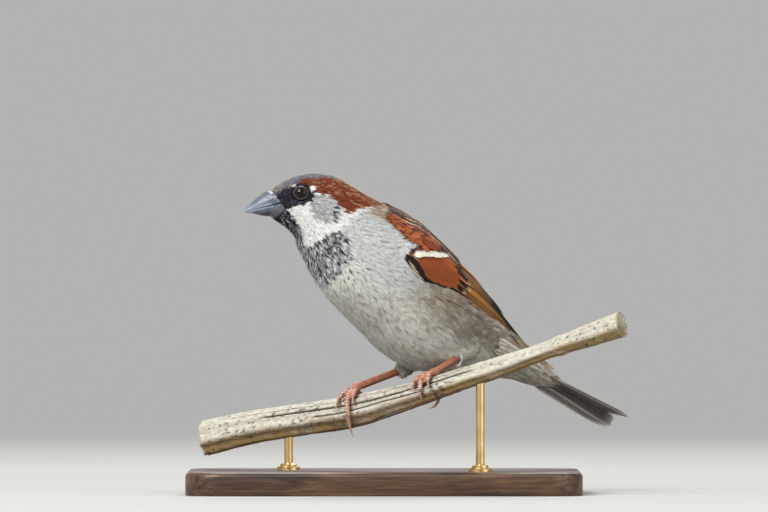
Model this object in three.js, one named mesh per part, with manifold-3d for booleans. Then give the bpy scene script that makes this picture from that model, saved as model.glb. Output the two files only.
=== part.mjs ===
// An adult male house sparrow, life size, gripping a cut length of dry stem on a plain display stand.
// Millimetres, +Z up. The bird faces -X and a little towards -Y. The origin is the middle of the
// stand's underside.
import * as THREE from "three";
import { mergeVertices } from "three/addons/utils/BufferGeometryUtils.js";
import Module from "manifold-3d";

const wasm = await Module();
wasm.setup();

const GAP = 0.3; // between pieces that meet
const CUT_TOLERANCE = 0.01; // of the joins and cuts
const UP = new THREE.Vector3(0, 0, 1);

// The body from the face to the tail root, one entry for each anatomical station. step is the
// distance from the station before, pitch the fall of that step and yaw its heading from +X to +Y,
// in degrees. roll lifts the left side. back, belly and side are the plumage's half-measures.
const FACE = new THREE.Vector3(-39, -18.8, 99.9);
const STATIONS = [
  { name: "face", step: 0, pitch: 0, yaw: 6, roll: 0, back: 4.5, belly: 4.8, side: 3.9 },
  { name: "lores", step: 3.5, pitch: -3, yaw: 6, roll: 0, back: 6.7, belly: 7.6, side: 5.6 },
  { name: "eyes", step: 5.5, pitch: -2, yaw: 6, roll: 0, back: 9.6, belly: 11.8, side: 8.4 },
  { name: "ears", step: 6.5, pitch: 15, yaw: 8, roll: 0, back: 12.6, belly: 13.6, side: 10.8 },
  { name: "nape", step: 8.7, pitch: 39, yaw: 14, roll: 2, back: 14.8, belly: 16.2, side: 13 },
  { name: "shoulders", step: 13.9, pitch: 44, yaw: 22, roll: 6, back: 19.4, belly: 20, side: 17.8 },
  { name: "breast", step: 18.7, pitch: 38, yaw: 28, roll: 10, back: 20.6, belly: 21.4, side: 20.4 },
  { name: "belly", step: 16, pitch: 40, yaw: 30, roll: 12, back: 17.4, belly: 20.6, side: 19 },
  { name: "vent", step: 21.4, pitch: 25, yaw: 30, roll: 14, back: 10, belly: 13.4, side: 13 },
  { name: "tail_root", step: 16.1, pitch: 24, yaw: 30, roll: 17, back: 5, belly: 6.4, side: 8.6 },
  { name: "coverts", step: 13.3, pitch: 26, yaw: 30, roll: 19, back: 1.6, belly: 3, side: 6.4 },
];
const BODY_SIDES = 20;

// Bill, along its own axis from the face towards the tip.
const BILL = { length: 9.7, droop: 15, root: 3.6, back: 4.45, belly: 4.4, side: 4 };
const GAPE = [[-5, -2.9], [-1.8, -1.9], [0.7, -0.7], [4.8, -0.4], [12, -0.3]]; // mouth line

const EYE = { radius: 2.7, forward: -0.6, high: 3.25, out: 6.25 };

// Wing, in the trunk's own axes from the breast station: along to the tail, out to the side, up to
// the back. Three edges of the outer surface run from the bend of the wing to its tip.
const WING = {
  lower: [[-13, 20, -4.6], [-1.5, 20.4, -3.4], [13, 17.9, 2.2], [31.3, 12.6, 8.8], [52.3, 5.5, 16.4]],
  middle: [[-15, 23.6, 10], [0, 23.2, 12.5], [16, 18, 17], [33, 10.5, 18.4], [53, 4.8, 17.4]],
  upper: [[-14, 10, 17.6], [2, 5.6, 20.2], [18, 3, 20.4], [33, 2.4, 20], [52.6, 3.4, 16.9]],
  pitch: 40,
  yaw: 30,
  roll: 10,
  cover: 3, // plumage cleared off the wing's outer surface
  widen: 0.14, // share of its width that a millimetre of clearance adds
};

const TAIL = {
  from: 6, length: 55, rootWide: 8.5, tipWide: 18, sheet: 0.7, core: 1.6, arch: 1.5,
  feathers: 12, scallop: 1, notch: 1.5, pitch: 26, yaw: 30, roll: 19,
};

// Stem under the feet: its line, and half its height and depth there.
const STEM = [
  [-62, 24.3, 18.6, 6.4, 4.9],
  [-46, 16.4, 22.4, 6, 4.7],
  [-29, 7.9, 25.2, 5.8, 4.6],
  [-11, -1, 28.1, 5.8, 4.5],
  [5.5, -9.8, 32.7, 4.9, 4.2],
  [15.9, -15.8, 35.9, 4.3, 3.9],
  [26.2, -20.6, 39.5, 4, 3.7],
  [40, -27, 44, 3.7, 3.5],
  [56, -34.3, 49.8, 3.2, 3.2],
  [69, -40.7, 54.4, 4, 3.8],
  [81, -46.5, 58.6, 4.6, 4.2],
];
const STEM_RIBS = 7;
const RIB_DEPTH = 0.35;

// Legs. cuff is how far the thigh's feathers reach down the tarsus. A toe is the place along the stem
// where it starts and ends, as stem X, and its turn round it from the top, towards the front, in
// degrees. lift is how far the claw's tip stands off the stem.
const LEGS = {
  right: {
    hip: [16, 14.5, 52],
    cuff: 0.6,
    ankle: [6.6, 6.6, 42.8],
    foot: [-9.4, -0.6, 36.8],
    toes: [
      { from: [-9, -8], round: [-20, -128], length: 9.5, claw: 6.5 },
      { from: [-8, -7.7], round: [18, 74], length: 8, claw: 4.5 },
      { from: [-9.4, -10.2], round: [10, 150], length: 13, claw: 5.5, lift: 3 },
      { from: [-11, -14], round: [4, 76], length: 9.5, claw: 4.5 },
    ],
  },
  left: {
    hip: [27, 2, 58],
    cuff: 7.6,
    ankle: [30.5, -4, 50.3],
    foot: [17.2, -14, 41.9],
    toes: [
      { from: [18.4, 14.6], round: [-24, -196], length: 11, claw: 6.5, lift: 0.6 },
      { from: [15.4, 12.2], round: [0, 84], length: 8.5, claw: 4 },
      { from: [16.4, 14.2], round: [10, 128], length: 12, claw: 5.5 },
      { from: [17.8, 17.6], round: [22, 92], length: 9, claw: 4.5 },
    ],
  },
};
const FOOT_RADIUS = 1.75;
const TARSUS = { deep: 1.25, wide: 0.95, knuckle: 1.35, short: 1.9, room: 0.4 };
const THIGH = { hip: 7, ankle: 2.9, cuff: 2.3 };
const TOE = { thick: 0.92, tip: 0.66, pad: 0.16, joints: 3, start: 0.16 };
const CLAW = { root: 0.58, tip: 0.22, gap: 0.025 };

const STAND = { long: 136, deep: 92, thick: 8, corner: 12, bevel: 1.2 };
const ROD = { radius: 1.5, collar: 4, collarHigh: 2.4, sockets: 2, stemX: [-33, 33] };

const COLOURS = {
  crown: 0x8a7f78, chestnut: 0x7a3a22, breast: 0xb9b8b0, belly: 0xbdbdb4, wing: 0x8b4a22,
  flight: 0x2c2119, tail: 0x6a625a, bill: 0x5c6873, eye: 0x140d0a, leg: 0x9a5f4c, claw: 0x8d7468,
  stem: 0xcfc4a0, wood: 0x4a2f1e, brass: 0xb08d4c,
};

const sparrow = new THREE.Group();
const rad = THREE.MathUtils.degToRad;
const vector = (p) => new THREE.Vector3(p[0], p[1], p[2]);

// ---- Solids ----

// A closed geometry as a manifold solid, turned right side out if it needs it.
function solidOf(geometry) {
  const bare = geometry.clone();
  bare.deleteAttribute("normal");
  bare.deleteAttribute("uv");
  const merged = mergeVertices(bare, 1e-4);
  const corners = new Uint32Array(merged.index.array);
  const make = () =>
    new wasm.Manifold(
      new wasm.Mesh({
        numProp: 3,
        vertProperties: new Float32Array(merged.attributes.position.array),
        triVerts: corners,
      }),
    ).setTolerance(CUT_TOLERANCE);
  const made = make();
  if (made.volume() > 0) return made;
  for (let i = 0; i < corners.length; i += 3) {
    [corners[i + 1], corners[i + 2]] = [corners[i + 2], corners[i + 1]];
  }
  return make();
}

function geometryOf(solid) {
  const mesh = solid.getMesh();
  const geometry = new THREE.BufferGeometry();
  geometry.setAttribute("position", new THREE.BufferAttribute(mesh.vertProperties, mesh.numProp));
  geometry.setIndex(new THREE.BufferAttribute(mesh.triVerts, 1));
  geometry.computeVertexNormals();
  return geometry;
}

// The largest body that a cut leaves.
function mainBody(solid) {
  const bodies = solid.decompose();
  return bodies.reduce((best, body) => (body.volume() > best.volume() ? body : best));
}

function addPiece(name, solid, colour, roughness = 0.8, metalness = 0) {
  const material = new THREE.MeshStandardMaterial({ color: colour, roughness, metalness });
  const mesh = new THREE.Mesh(geometryOf(solid), material);
  mesh.name = name;
  sparrow.add(mesh);
}

// A closed solid through cross-sections. section(t) gives its middle, and its edge for a turn from
// 0 to 1, with t from 0 to 1. A sphere's rows become the sections and its poles close the ends.
function loft(rings, sides, section) {
  const geometry = new THREE.SphereGeometry(1, sides, rings + 1);
  const places = geometry.getAttribute("position");
  for (let row = 0; row <= rings + 1; row++) {
    const t = THREE.MathUtils.clamp((row - 1) / (rings - 1), 0, 1);
    const { middle, edge } = section(t);
    for (let column = 0; column <= sides; column++) {
      const isPole = row === 0 || row === rings + 1;
      const p = isPole ? middle : edge((column % sides) / sides);
      places.setXYZ(row * (sides + 1) + column, p.x, p.y, p.z);
    }
  }
  return solidOf(geometry);
}

// A smooth line through points of any number of values.
function lineThrough(points) {
  const curve = (from) =>
    new THREE.CatmullRomCurve3(
      points.map((p) => new THREE.Vector3(p[from], p[from + 1] ?? 0, p[from + 2] ?? 0)),
      false,
      "catmullrom",
      0.5,
    );
  const starts = [];
  for (let from = 0; from < points[0].length; from += 3) starts.push(from);
  const curves = starts.map(curve);
  return (t) => curves.flatMap((c) => c.getPoint(THREE.MathUtils.clamp(t, 0, 1)).toArray());
}

// Axes for something that runs along `along`, with its left side towards yaw and lifted by roll.
function axesFor(along, yaw, roll) {
  const level = new THREE.Vector3(Math.sin(rad(yaw)), -Math.cos(rad(yaw)), 0);
  const left = level.clone().addScaledVector(along, -level.dot(along)).normalize();
  const up = left.clone().cross(along).normalize();
  return {
    along,
    left: left.clone().multiplyScalar(Math.cos(rad(roll))).addScaledVector(up, Math.sin(rad(roll))),
    up: up.clone().multiplyScalar(Math.cos(rad(roll))).addScaledVector(left, -Math.sin(rad(roll))),
  };
}

function heading(pitch, yaw) {
  return new THREE.Vector3(
    Math.cos(rad(yaw)) * Math.cos(rad(pitch)),
    Math.sin(rad(yaw)) * Math.cos(rad(pitch)),
    -Math.sin(rad(pitch)),
  );
}

// ---- Body ----

const bodyPoints = [];
STATIONS.forEach((station, i) => {
  const before = i === 0 ? FACE : vector(bodyPoints[i - 1]);
  const place = before.clone().addScaledVector(heading(station.pitch, station.yaw), station.step);
  const { back, belly, side, yaw, roll } = station;
  bodyPoints.push([place.x, place.y, place.z, back, belly, side, yaw, roll, 0]);
});
const bodyLine = lineThrough(bodyPoints);
const LAST = STATIONS.length - 1;
const stationAt = (name) => STATIONS.findIndex((station) => station.name === name);

// The body's cross-section at a station number, which may lie between two stations.
function bodyAt(station) {
  const t = station / LAST;
  const [x, y, z, back, belly, side, yaw, roll] = bodyLine(t);
  const ahead = vector(bodyLine(t + 0.045)).sub(vector(bodyLine(t - 0.045))).normalize();
  return { middle: new THREE.Vector3(x, y, z), back, belly, side, ...axesFor(ahead, yaw, roll) };
}

// A point in the body's axes at a station: out to the left and up to the back, in millimetres.
function inBody(station, out, up) {
  const at = bodyAt(station);
  return at.middle.clone().addScaledVector(at.left, out).addScaledVector(at.up, up);
}

function bodyBetween(from, to, rings, grow = 0) {
  return loft(rings, BODY_SIDES, (t) => {
    const station = from + (to - from) * t;
    const at = bodyAt(station);
    const edge = (turn) => {
      const a = 2 * Math.PI * turn;
      const high = (Math.cos(a) > 0 ? at.back : at.belly) + grow;
      return inBody(station, (at.side + grow) * Math.sin(a), high * Math.cos(a));
    };
    return { middle: at.middle, edge };
  });
}

// ---- Bill ----

const face = bodyAt(0);
const headAxes = axesFor(heading(0, STATIONS[0].yaw), STATIONS[0].yaw, 0);
const billAlong = headAxes.along
  .clone()
  .multiplyScalar(-Math.cos(rad(BILL.droop)))
  .addScaledVector(UP, -Math.sin(rad(BILL.droop)));
const billUp = headAxes.left.clone().cross(billAlong).multiplyScalar(-1).normalize();

const inBill = (along, out, up) =>
  face.middle
    .clone()
    .addScaledVector(billAlong, along)
    .addScaledVector(headAxes.left, out)
    .addScaledVector(billUp, up);

// Along the bill, its height over the axis, depth under it and half-width, as shares of the root's.
const billLine = lineThrough([
  [-BILL.root, 0.93, 0.9, 1.12, 0, 0],
  [0, 1, 1, 1, 0, 0],
  [0.25 * BILL.length, 0.82, 0.86, 0.83, 0, 0],
  [0.51 * BILL.length, 0.56, 0.58, 0.62, 0, 0],
  [0.78 * BILL.length, 0.26, 0.26, 0.34, -0.05, 0],
  [BILL.length, 0.05, 0.05, 0.07, -0.28, 0],
]);

function bill(grow) {
  return loft(12, 16, (t) => {
    const [along, high, deep, wide, shift] = billLine(t);
    const edge = (turn) => {
      const a = 2 * Math.PI * turn;
      const up = Math.cos(a) > 0 ? high * BILL.back : deep * BILL.belly;
      return inBill(along, (wide * BILL.side + grow) * Math.sin(a), shift + (up + grow) * Math.cos(a));
    };
    return { middle: inBill(along, 0, shift), edge };
  });
}

// A thin curved blade along the mouth line, which parts the bill into its two mandibles.
function mouthBlade() {
  const line = lineThrough(GAPE.map(([along, up]) => [along, up, 0]));
  return loft(14, 4, (t) => {
    const [along, up] = line(t);
    const edge = (turn) => {
      const corner = Math.round(turn * 4);
      const out = (corner < 2 ? 1 : -1) * 9;
      return inBill(along, out, up + (corner === 1 || corner === 2 ? 1 : -1) * (GAP / 2));
    };
    return { middle: inBill(along, 0, up), edge };
  });
}

const mandibles = bill(0).subtract(mouthBlade()).decompose();
mandibles.sort((a, b) => b.boundingBox().max[2] - a.boundingBox().max[2]);
addPiece("bill_upper", mandibles[0], COLOURS.bill, 0.35);
addPiece("bill_lower", mandibles[1], COLOURS.bill, 0.35);

// ---- Eyes ----

function eye(side, grow) {
  const ball = new THREE.SphereGeometry(EYE.radius + grow, 14, 10);
  const place = inBody(stationAt("eyes"), side * EYE.out, EYE.high);
  place.addScaledVector(headAxes.along, -EYE.forward);
  ball.translate(place.x, place.y, place.z);
  return solidOf(ball);
}

addPiece("eye_left", eye(1, 0), COLOURS.eye, 0.05);
addPiece("eye_right", eye(-1, 0), COLOURS.eye, 0.05);

// ---- Wings ----

const breast = bodyAt(stationAt("breast")).middle;
const wingAxes = axesFor(heading(WING.pitch, WING.yaw), WING.yaw, WING.roll);
const lowerEdge = lineThrough(WING.lower);
const middleEdge = lineThrough(WING.middle);
const upperEdge = lineThrough(WING.upper);

// The wing's outer surface: t runs from the bend to the tip, and rise from the lower edge to the upper.
function wingPoint(t, rise, side, inward) {
  const low = vector(lowerEdge(t));
  const mid = vector(middleEdge(t));
  const top = vector(upperEdge(t));
  const p = low
    .clone()
    .multiplyScalar((1 - rise) ** 2)
    .addScaledVector(mid, 2 * rise * (1 - rise))
    .addScaledVector(top, rise ** 2);
  const across = top.clone().sub(low).normalize();
  const chord = new THREE.Vector3(1, 0, 0).addScaledVector(across, -across.x).normalize();
  const out = chord.cross(across).normalize();
  p.addScaledVector(out, inward * (out.y < 0 ? 1 : -1));
  return breast
    .clone()
    .addScaledVector(wingAxes.along, p.x)
    .addScaledVector(wingAxes.left, side * p.y)
    .addScaledVector(wingAxes.up, p.z);
}

// A stretch of the wing, as a sheet between its outer and inner surfaces.
function wingBetween(from, to, rings, side, depth, sink, grow = 0, cover = 0) {
  const half = 6;
  return loft(rings, 2 * half, (t) => {
    const place = from + (to - from) * t;
    const edge = (turn) => {
      const k = Math.round(turn * 2 * half);
      const isOuter = k < half;
      const rise = isOuter ? k / (half - 1) : (2 * half - 1 - k) / (half - 1);
      const thin = 0.35 + 0.65 * Math.sin(Math.PI * rise);
      const inward = isOuter ? sink - grow - cover : sink + depth * thin + grow;
      const stretched = (rise - 0.5) * (1 + grow * WING.widen) + 0.5;
      return wingPoint(place, stretched, side, inward);
    };
    const middle = wingPoint(place, 0.5, side, sink + depth / 2);
    return { middle, edge };
  });
}

// The stretches of the wing, as shares of its length. sink is how far each lies under the outer
// surface and depth how thick it is.
const WING_PARTS = [
  { name: "coverts", from: 0.02, to: 0.4, rings: 8, depth: 3, sink: 0, colour: COLOURS.wing },
  { name: "secondaries", from: 0.406, to: 0.66, rings: 6, depth: 2.4, sink: 0.4, colour: COLOURS.wing },
  { name: "primaries", from: 0.668, to: 0.988, rings: 7, depth: 1.5, sink: 0.7, colour: COLOURS.flight },
];
const WING_END = 0.012; // of its length, cleared beyond each stretch

const wingCutters = [];
for (const [label, side] of [["left", 1], ["right", -1]]) {
  for (const part of WING_PARTS) {
    const { from, to, rings, depth, sink } = part;
    const piece = wingBetween(from, to, rings, side, depth, sink);
    addPiece(`wing_${label}_${part.name}`, piece, part.colour);
    const room = wingBetween(from - WING_END, to + WING_END, rings, side, depth, sink, GAP, WING.cover);
    wingCutters.push(room.add(piece));
  }
}

// ---- Tail ----

const tailRoot = bodyAt(stationAt("vent") + 0.55);
const tailAxes = axesFor(heading(TAIL.pitch, TAIL.yaw), TAIL.yaw, TAIL.roll);

// The closed tail, a thin arched sheet that widens to its end: along from the root to the feathers'
// tips, and across from one outer edge (-1) to the other (1).
function tailPoint(t, across, isTop) {
  const feather = ((across + 1) / 2) * TAIL.feathers;
  const tipDip = TAIL.scallop * Math.abs(Math.cos(Math.PI * feather)) ** 3;
  const reach = TAIL.length - TAIL.notch * (1 - Math.abs(across)) - tipDip;
  const width = THREE.MathUtils.lerp(TAIL.rootWide, TAIL.tipWide, Math.min(1, 1.15 * t));
  const rounded = 1 - 0.8 * Math.max(0, t - 0.9);
  const thick = THREE.MathUtils.lerp(TAIL.core, TAIL.sheet, Math.max(Math.abs(across), t));
  return tailRoot.middle
    .clone()
    .addScaledVector(tailAxes.along, THREE.MathUtils.lerp(TAIL.from, reach, t))
    .addScaledVector(tailAxes.left, (across * rounded * width) / 2)
    .addScaledVector(tailAxes.up, (isTop ? thick : -thick) / 2 - TAIL.arch * across ** 2);
}

const TAIL_COLUMNS = 2 * TAIL.feathers + 1;
const tailSheet = loft(6, 2 * TAIL_COLUMNS, (t) => {
  const edge = (turn) => {
    const k = Math.round(turn * 2 * TAIL_COLUMNS);
    const isTop = k < TAIL_COLUMNS;
    const column = isTop ? k : 2 * TAIL_COLUMNS - 1 - k;
    return tailPoint(t, (2 * column) / (TAIL_COLUMNS - 1) - 1, isTop);
  };
  const middle = tailPoint(t, 0, true).lerp(tailPoint(t, 0, false), 0.5);
  return { middle, edge };
});

// ---- Stem ----

const stemLine = lineThrough(STEM.map(([x, y, z, high, deep]) => [x, y, z, high, deep, 0]));

function stemAt(t) {
  const [x, y, z, high, deep] = stemLine(t);
  const along = vector(stemLine(t + 0.01)).sub(vector(stemLine(t - 0.01))).normalize();
  const front = along.clone().cross(UP).normalize();
  const up = front.clone().cross(along).normalize();
  return { middle: new THREE.Vector3(x, y, z), high, deep, along, front, up };
}

// The stem's parameter where its line passes x.
function stemWhere(x) {
  let low = 0;
  let high = 1;
  for (let i = 0; i < 30; i++) {
    const half = (low + high) / 2;
    if (stemLine(half)[0] < x) low = half;
    else high = half;
  }
  return low;
}

// A point off the stem's surface: turn in radians from its top towards its front.
function roundStem(at, turn, off) {
  return at.middle
    .clone()
    .addScaledVector(at.up, (at.high + off) * Math.cos(turn))
    .addScaledVector(at.front, (at.deep + off) * Math.sin(turn));
}

let stem = loft(18, 28, (t) => {
  const at = stemAt(t);
  const ribs = 0.25 + 0.75 * (1 - t);
  const edge = (turn) => {
    const groove = RIB_DEPTH * ribs * (Math.cos(2 * Math.PI * turn * STEM_RIBS) - 1);
    return roundStem(at, 2 * Math.PI * turn, groove);
  };
  return { middle: at.middle, edge };
});

// ---- Legs, feet and claws ----

// A round limb along points, with its half-thickness at each; flat makes it narrower side to side.
function limb(points, rings, sides, thickness, flat = 1) {
  const line = lineThrough(points);
  return loft(rings, sides, (t) => {
    const middle = vector(line(t));
    const along = vector(line(t + 0.02)).sub(vector(line(t - 0.02))).normalize();
    const side = along.clone().cross(UP).normalize();
    const deep = side.clone().cross(along).normalize();
    const r = thickness(t);
    const edge = (turn) => {
      const a = 2 * Math.PI * turn;
      return middle
        .clone()
        .addScaledVector(deep, r * Math.cos(a))
        .addScaledVector(side, r * flat * Math.sin(a));
    };
    return { middle, edge };
  });
}

// The line of a toe with its claw: from the foot over the stem and down its face.
function toeLine(foot, toe, off) {
  const { lift = 0 } = toe;
  const points = [foot.toArray()];
  const steps = 6;
  for (let i = 0; i <= steps; i++) {
    const share = i / steps;
    const at = stemAt(stemWhere(THREE.MathUtils.lerp(toe.from[0], toe.from[1], share)));
    const turn = rad(THREE.MathUtils.lerp(toe.round[0], toe.round[1], share));
    points.push(roundStem(at, turn, off + lift * share ** 4).toArray());
  }
  return points;
}

const shankOf = (leg) => vector(leg.foot).sub(vector(leg.ankle)).normalize();
const tarsusThickness = (t) => TARSUS.deep + (TARSUS.knuckle - TARSUS.deep) * (2 * t - 1) ** 4;

// The middle line of a tarsus, which stops short of the foot's ball.
function tarsusLine(leg, extra = 0) {
  const ankle = vector(leg.ankle);
  const end = vector(leg.foot).addScaledVector(shankOf(leg), extra - TARSUS.short);
  return [ankle, ankle.clone().lerp(end, 0.5), end].map((p) => p.toArray());
}

// The feathered thigh: wide in the flank, narrow at the ankle, with a cuff a little way down the leg.
function thighOf(leg) {
  const cuff = vector(leg.ankle).addScaledVector(shankOf(leg), leg.cuff);
  const { lerp } = THREE.MathUtils;
  const upper = (t) => lerp(THIGH.hip, THIGH.ankle, 2 * t);
  const lower = (t) => lerp(THIGH.ankle, THIGH.cuff, 2 * t - 1);
  const taper = (t) => (t < 0.5 ? upper(t) : lower(t));
  return limb([leg.hip, leg.ankle, cuff.toArray()], 7, 12, taper);
}

function footBall(leg) {
  const ball = new THREE.SphereGeometry(FOOT_RADIUS, 10, 6);
  ball.translate(...leg.foot);
  return solidOf(ball);
}

// A toe and its claw as solids, and the room that the toe takes from its neighbours.
function toeOf(leg, toe) {
  const line = lineThrough(toeLine(vector(leg.foot), toe, TOE.thick + GAP));
  const clawFrom = toe.length / (toe.length + toe.claw);
  const stretch = (from, to) => [0, 0.25, 0.5, 0.75, 1].map((s) => line(from + (to - from) * s));
  const pads = (t) => TOE.pad * Math.cos(2 * Math.PI * TOE.joints * t);
  const thickness = (t) => THREE.MathUtils.lerp(TOE.thick, TOE.tip, t) + pads(t);
  const clawThickness = (t) => THREE.MathUtils.lerp(CLAW.root, CLAW.tip, t);
  return {
    toe: limb(stretch(TOE.start, clawFrom), 10, 7, thickness),
    claw: limb(stretch(clawFrom + CLAW.gap, 1), 5, 6, clawThickness),
    room: limb(stretch(TOE.start, clawFrom + CLAW.gap), 10, 7, (t) => thickness(t) + GAP),
  };
}

const legCutters = [];
const thighs = {};
for (const [label, leg] of Object.entries(LEGS)) {
  const flat = TARSUS.wide / TARSUS.deep;
  addPiece(`tarsus_${label}`, limb(tarsusLine(leg), 8, 10, tarsusThickness, flat), COLOURS.leg, 0.6);
  const tarsusRoom = limb(tarsusLine(leg, GAP), 5, 8, (t) => tarsusThickness(t) + TARSUS.room);
  legCutters.push(tarsusRoom);
  thighs[label] = thighOf(leg).subtract(tarsusRoom);

  let taken = footBall(leg).subtract(tarsusRoom);
  addPiece(`foot_${label}`, taken, COLOURS.leg, 0.6);
  leg.toes.forEach((shape, i) => {
    const { toe, claw, room } = toeOf(leg, shape);
    addPiece(`toe_${label}_${i + 1}`, mainBody(toe.subtract(taken)), COLOURS.leg, 0.6);
    addPiece(`claw_${label}_${i + 1}`, claw, COLOURS.claw, 0.4);
    taken = taken.add(room);
  });
}

// ---- Body pieces, cut to fit round the bill, eyes and wings ----

const NECK_FROM = stationAt("ears") + 0.55;
const TRUNK_FROM = stationAt("nape") + 0.55;
const RUMP_FROM = stationAt("vent") - 0.15;
const cutters = [bill(GAP), eye(1, GAP), eye(-1, GAP), ...wingCutters, ...legCutters];
const cutBody = (solid) => mainBody(cutters.reduce((left, cutter) => left.subtract(cutter), solid));

addPiece("head", cutBody(bodyBetween(0, NECK_FROM - 0.02, 14)), COLOURS.crown);
addPiece("neck", cutBody(bodyBetween(NECK_FROM + 0.02, TRUNK_FROM - 0.012, 6)), COLOURS.chestnut);
addPiece("trunk", cutBody(bodyBetween(TRUNK_FROM + 0.012, RUMP_FROM - 0.008, 16)), COLOURS.breast);
addPiece("rump", cutBody(bodyBetween(RUMP_FROM + 0.008, LAST, 10)), COLOURS.belly);
addPiece("tail", mainBody(tailSheet.subtract(bodyBetween(RUMP_FROM, LAST, 10, GAP))), COLOURS.tail);

const trunkRoom = bodyBetween(TRUNK_FROM, LAST, 20, GAP);
for (const [label, thigh] of Object.entries(thighs)) {
  addPiece(`thigh_${label}`, mainBody(thigh.subtract(trunkRoom)), COLOURS.belly);
}

// ---- Stand ----

function standBase() {
  const x = STAND.long / 2 - STAND.bevel;
  const y = STAND.deep / 2 - STAND.bevel;
  const r = STAND.corner - STAND.bevel;
  const outline = new THREE.Shape();
  outline.moveTo(-x + r, -y);
  outline.lineTo(x - r, -y);
  outline.absarc(x - r, -y + r, r, -Math.PI / 2, 0);
  outline.absarc(x - r, y - r, r, 0, Math.PI / 2);
  outline.absarc(-x + r, y - r, r, Math.PI / 2, Math.PI);
  outline.absarc(-x + r, -y + r, r, Math.PI, Math.PI * 1.5);
  const slab = new THREE.ExtrudeGeometry(outline, {
    depth: STAND.thick - 2 * STAND.bevel,
    bevelSize: STAND.bevel,
    bevelThickness: STAND.bevel,
    bevelSegments: 1,
    curveSegments: 4,
  });
  slab.translate(0, 0, STAND.bevel);
  return solidOf(slab);
}

// A rod with a collar that stands on the base and enters the stem's underside.
function rod(x, grow) {
  const at = stemAt(stemWhere(x));
  const top = at.middle.z - at.high + ROD.sockets;
  const foot = STAND.thick + GAP;
  const profile = [
    [0, foot], [ROD.collar, foot], [ROD.collar, foot + ROD.collarHigh * 0.6],
    [ROD.radius + grow, foot + ROD.collarHigh], [ROD.radius + grow, top + grow], [0, top + grow],
  ].map(([r, z]) => new THREE.Vector2(r, z));
  const turned = new THREE.LatheGeometry(profile, 16);
  turned.rotateX(Math.PI / 2);
  turned.translate(at.middle.x, at.middle.y, 0);
  return solidOf(turned);
}

addPiece("stand_base", standBase(), COLOURS.wood, 0.5);
ROD.stemX.forEach((x, i) => {
  addPiece(`stand_rod_${i + 1}`, rod(x, 0), COLOURS.brass, 0.3, 1);
  stem = stem.subtract(rod(x, GAP));
});
addPiece("stem", mainBody(stem), COLOURS.stem);

export default sparrow;
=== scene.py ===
import math

import bmesh
import bpy
import numpy as np
from mathutils import Matrix, Vector
from mathutils.bvhtree import BVHTree
from mathutils.geometry import delaunay_2d_cdt
from mathutils.kdtree import KDTree


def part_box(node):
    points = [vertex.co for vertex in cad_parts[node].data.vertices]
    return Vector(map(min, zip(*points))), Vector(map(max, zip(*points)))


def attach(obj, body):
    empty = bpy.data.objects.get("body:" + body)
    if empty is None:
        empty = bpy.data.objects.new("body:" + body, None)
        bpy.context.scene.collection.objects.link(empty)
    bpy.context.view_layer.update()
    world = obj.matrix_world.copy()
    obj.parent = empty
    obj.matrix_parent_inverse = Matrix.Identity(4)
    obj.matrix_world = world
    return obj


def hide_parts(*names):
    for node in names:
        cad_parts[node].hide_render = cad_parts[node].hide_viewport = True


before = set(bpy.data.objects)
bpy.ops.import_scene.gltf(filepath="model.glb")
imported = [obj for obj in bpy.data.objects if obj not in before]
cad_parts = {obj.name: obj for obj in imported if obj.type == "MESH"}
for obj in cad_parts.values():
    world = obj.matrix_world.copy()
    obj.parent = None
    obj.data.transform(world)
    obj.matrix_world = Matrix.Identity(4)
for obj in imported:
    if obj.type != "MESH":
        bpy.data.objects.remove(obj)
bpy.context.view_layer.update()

# ---- Stand base ----
# A slab of dark oiled hardwood that carries the whole mount. It is sawn to size, its corners are
# rounded and its upper edge is eased with a small moulding before it is oiled.
MM = 0.001
BASE_LOW, BASE_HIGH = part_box("stand_base")
BASE_CORNER = 12 * MM
BASE_EASE = 1.6 * MM
TOUCHING = 1e-6  # metres within which points count as one
WOOD_DARK = (0.020, 0.010, 0.006, 1)
WOOD_MID = (0.062, 0.030, 0.015, 1)
WOOD_LIGHT = (0.125, 0.062, 0.030, 1)


def add_node(tree, kind, inputs=None, **settings):
    """Adds a shader node. An input is a value, or another node's output to link from."""
    made = tree.nodes.new(kind)
    for key, value in settings.items():
        setattr(made, key, value)
    for key, value in (inputs or {}).items():
        if isinstance(value, bpy.types.NodeSocket):
            tree.links.new(value, made.inputs[key])
        else:
            made.inputs[key].default_value = value
    return made


def add_ramp(tree, amount, stops):
    """A colour ramp over an amount: stops are (place, colour)."""
    ramp = add_node(tree, "ShaderNodeValToRGB", {"Fac": amount})
    marks = ramp.color_ramp.elements
    while len(marks) < len(stops):
        marks.new(0.5)
    for mark, (place, colour) in zip(marks, stops):
        mark.position = place
        mark.color = colour
    return ramp.outputs["Color"]


def add_noise(tree, place, scale, detail, **inputs):
    """Cloudy noise over places, from 0 to 1."""
    given = {"Vector": place, "Scale": scale, "Detail": detail, **inputs}
    return add_node(tree, "ShaderNodeTexNoise", given).outputs["Fac"]


def add_bump(tree, height, strength, distance):
    """A bump normal from a height that changes over the surface."""
    inputs = {"Height": height, "Strength": strength, "Distance": distance}
    return add_node(tree, "ShaderNodeBump", inputs).outputs["Normal"]


def own_places(tree):
    """Places on the piece itself, in metres."""
    return add_node(tree, "ShaderNodeTexCoord").outputs["Object"]


def stretched(tree, place, scale, rotation=(0, 0, 0)):
    """Places drawn out along one axis, so that noise over them runs in fibres."""
    given = {"Vector": place, "Scale": scale, "Rotation": rotation}
    return add_node(tree, "ShaderNodeMapping", given).outputs["Vector"]


def tinted(tree, colour, tint, share):
    """A colour multiplied by a tint, by a share."""
    given = {"Fac": share, "Color1": colour, "Color2": tint}
    return add_node(tree, "ShaderNodeMixRGB", given, blend_type="MULTIPLY").outputs["Color"]


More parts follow.
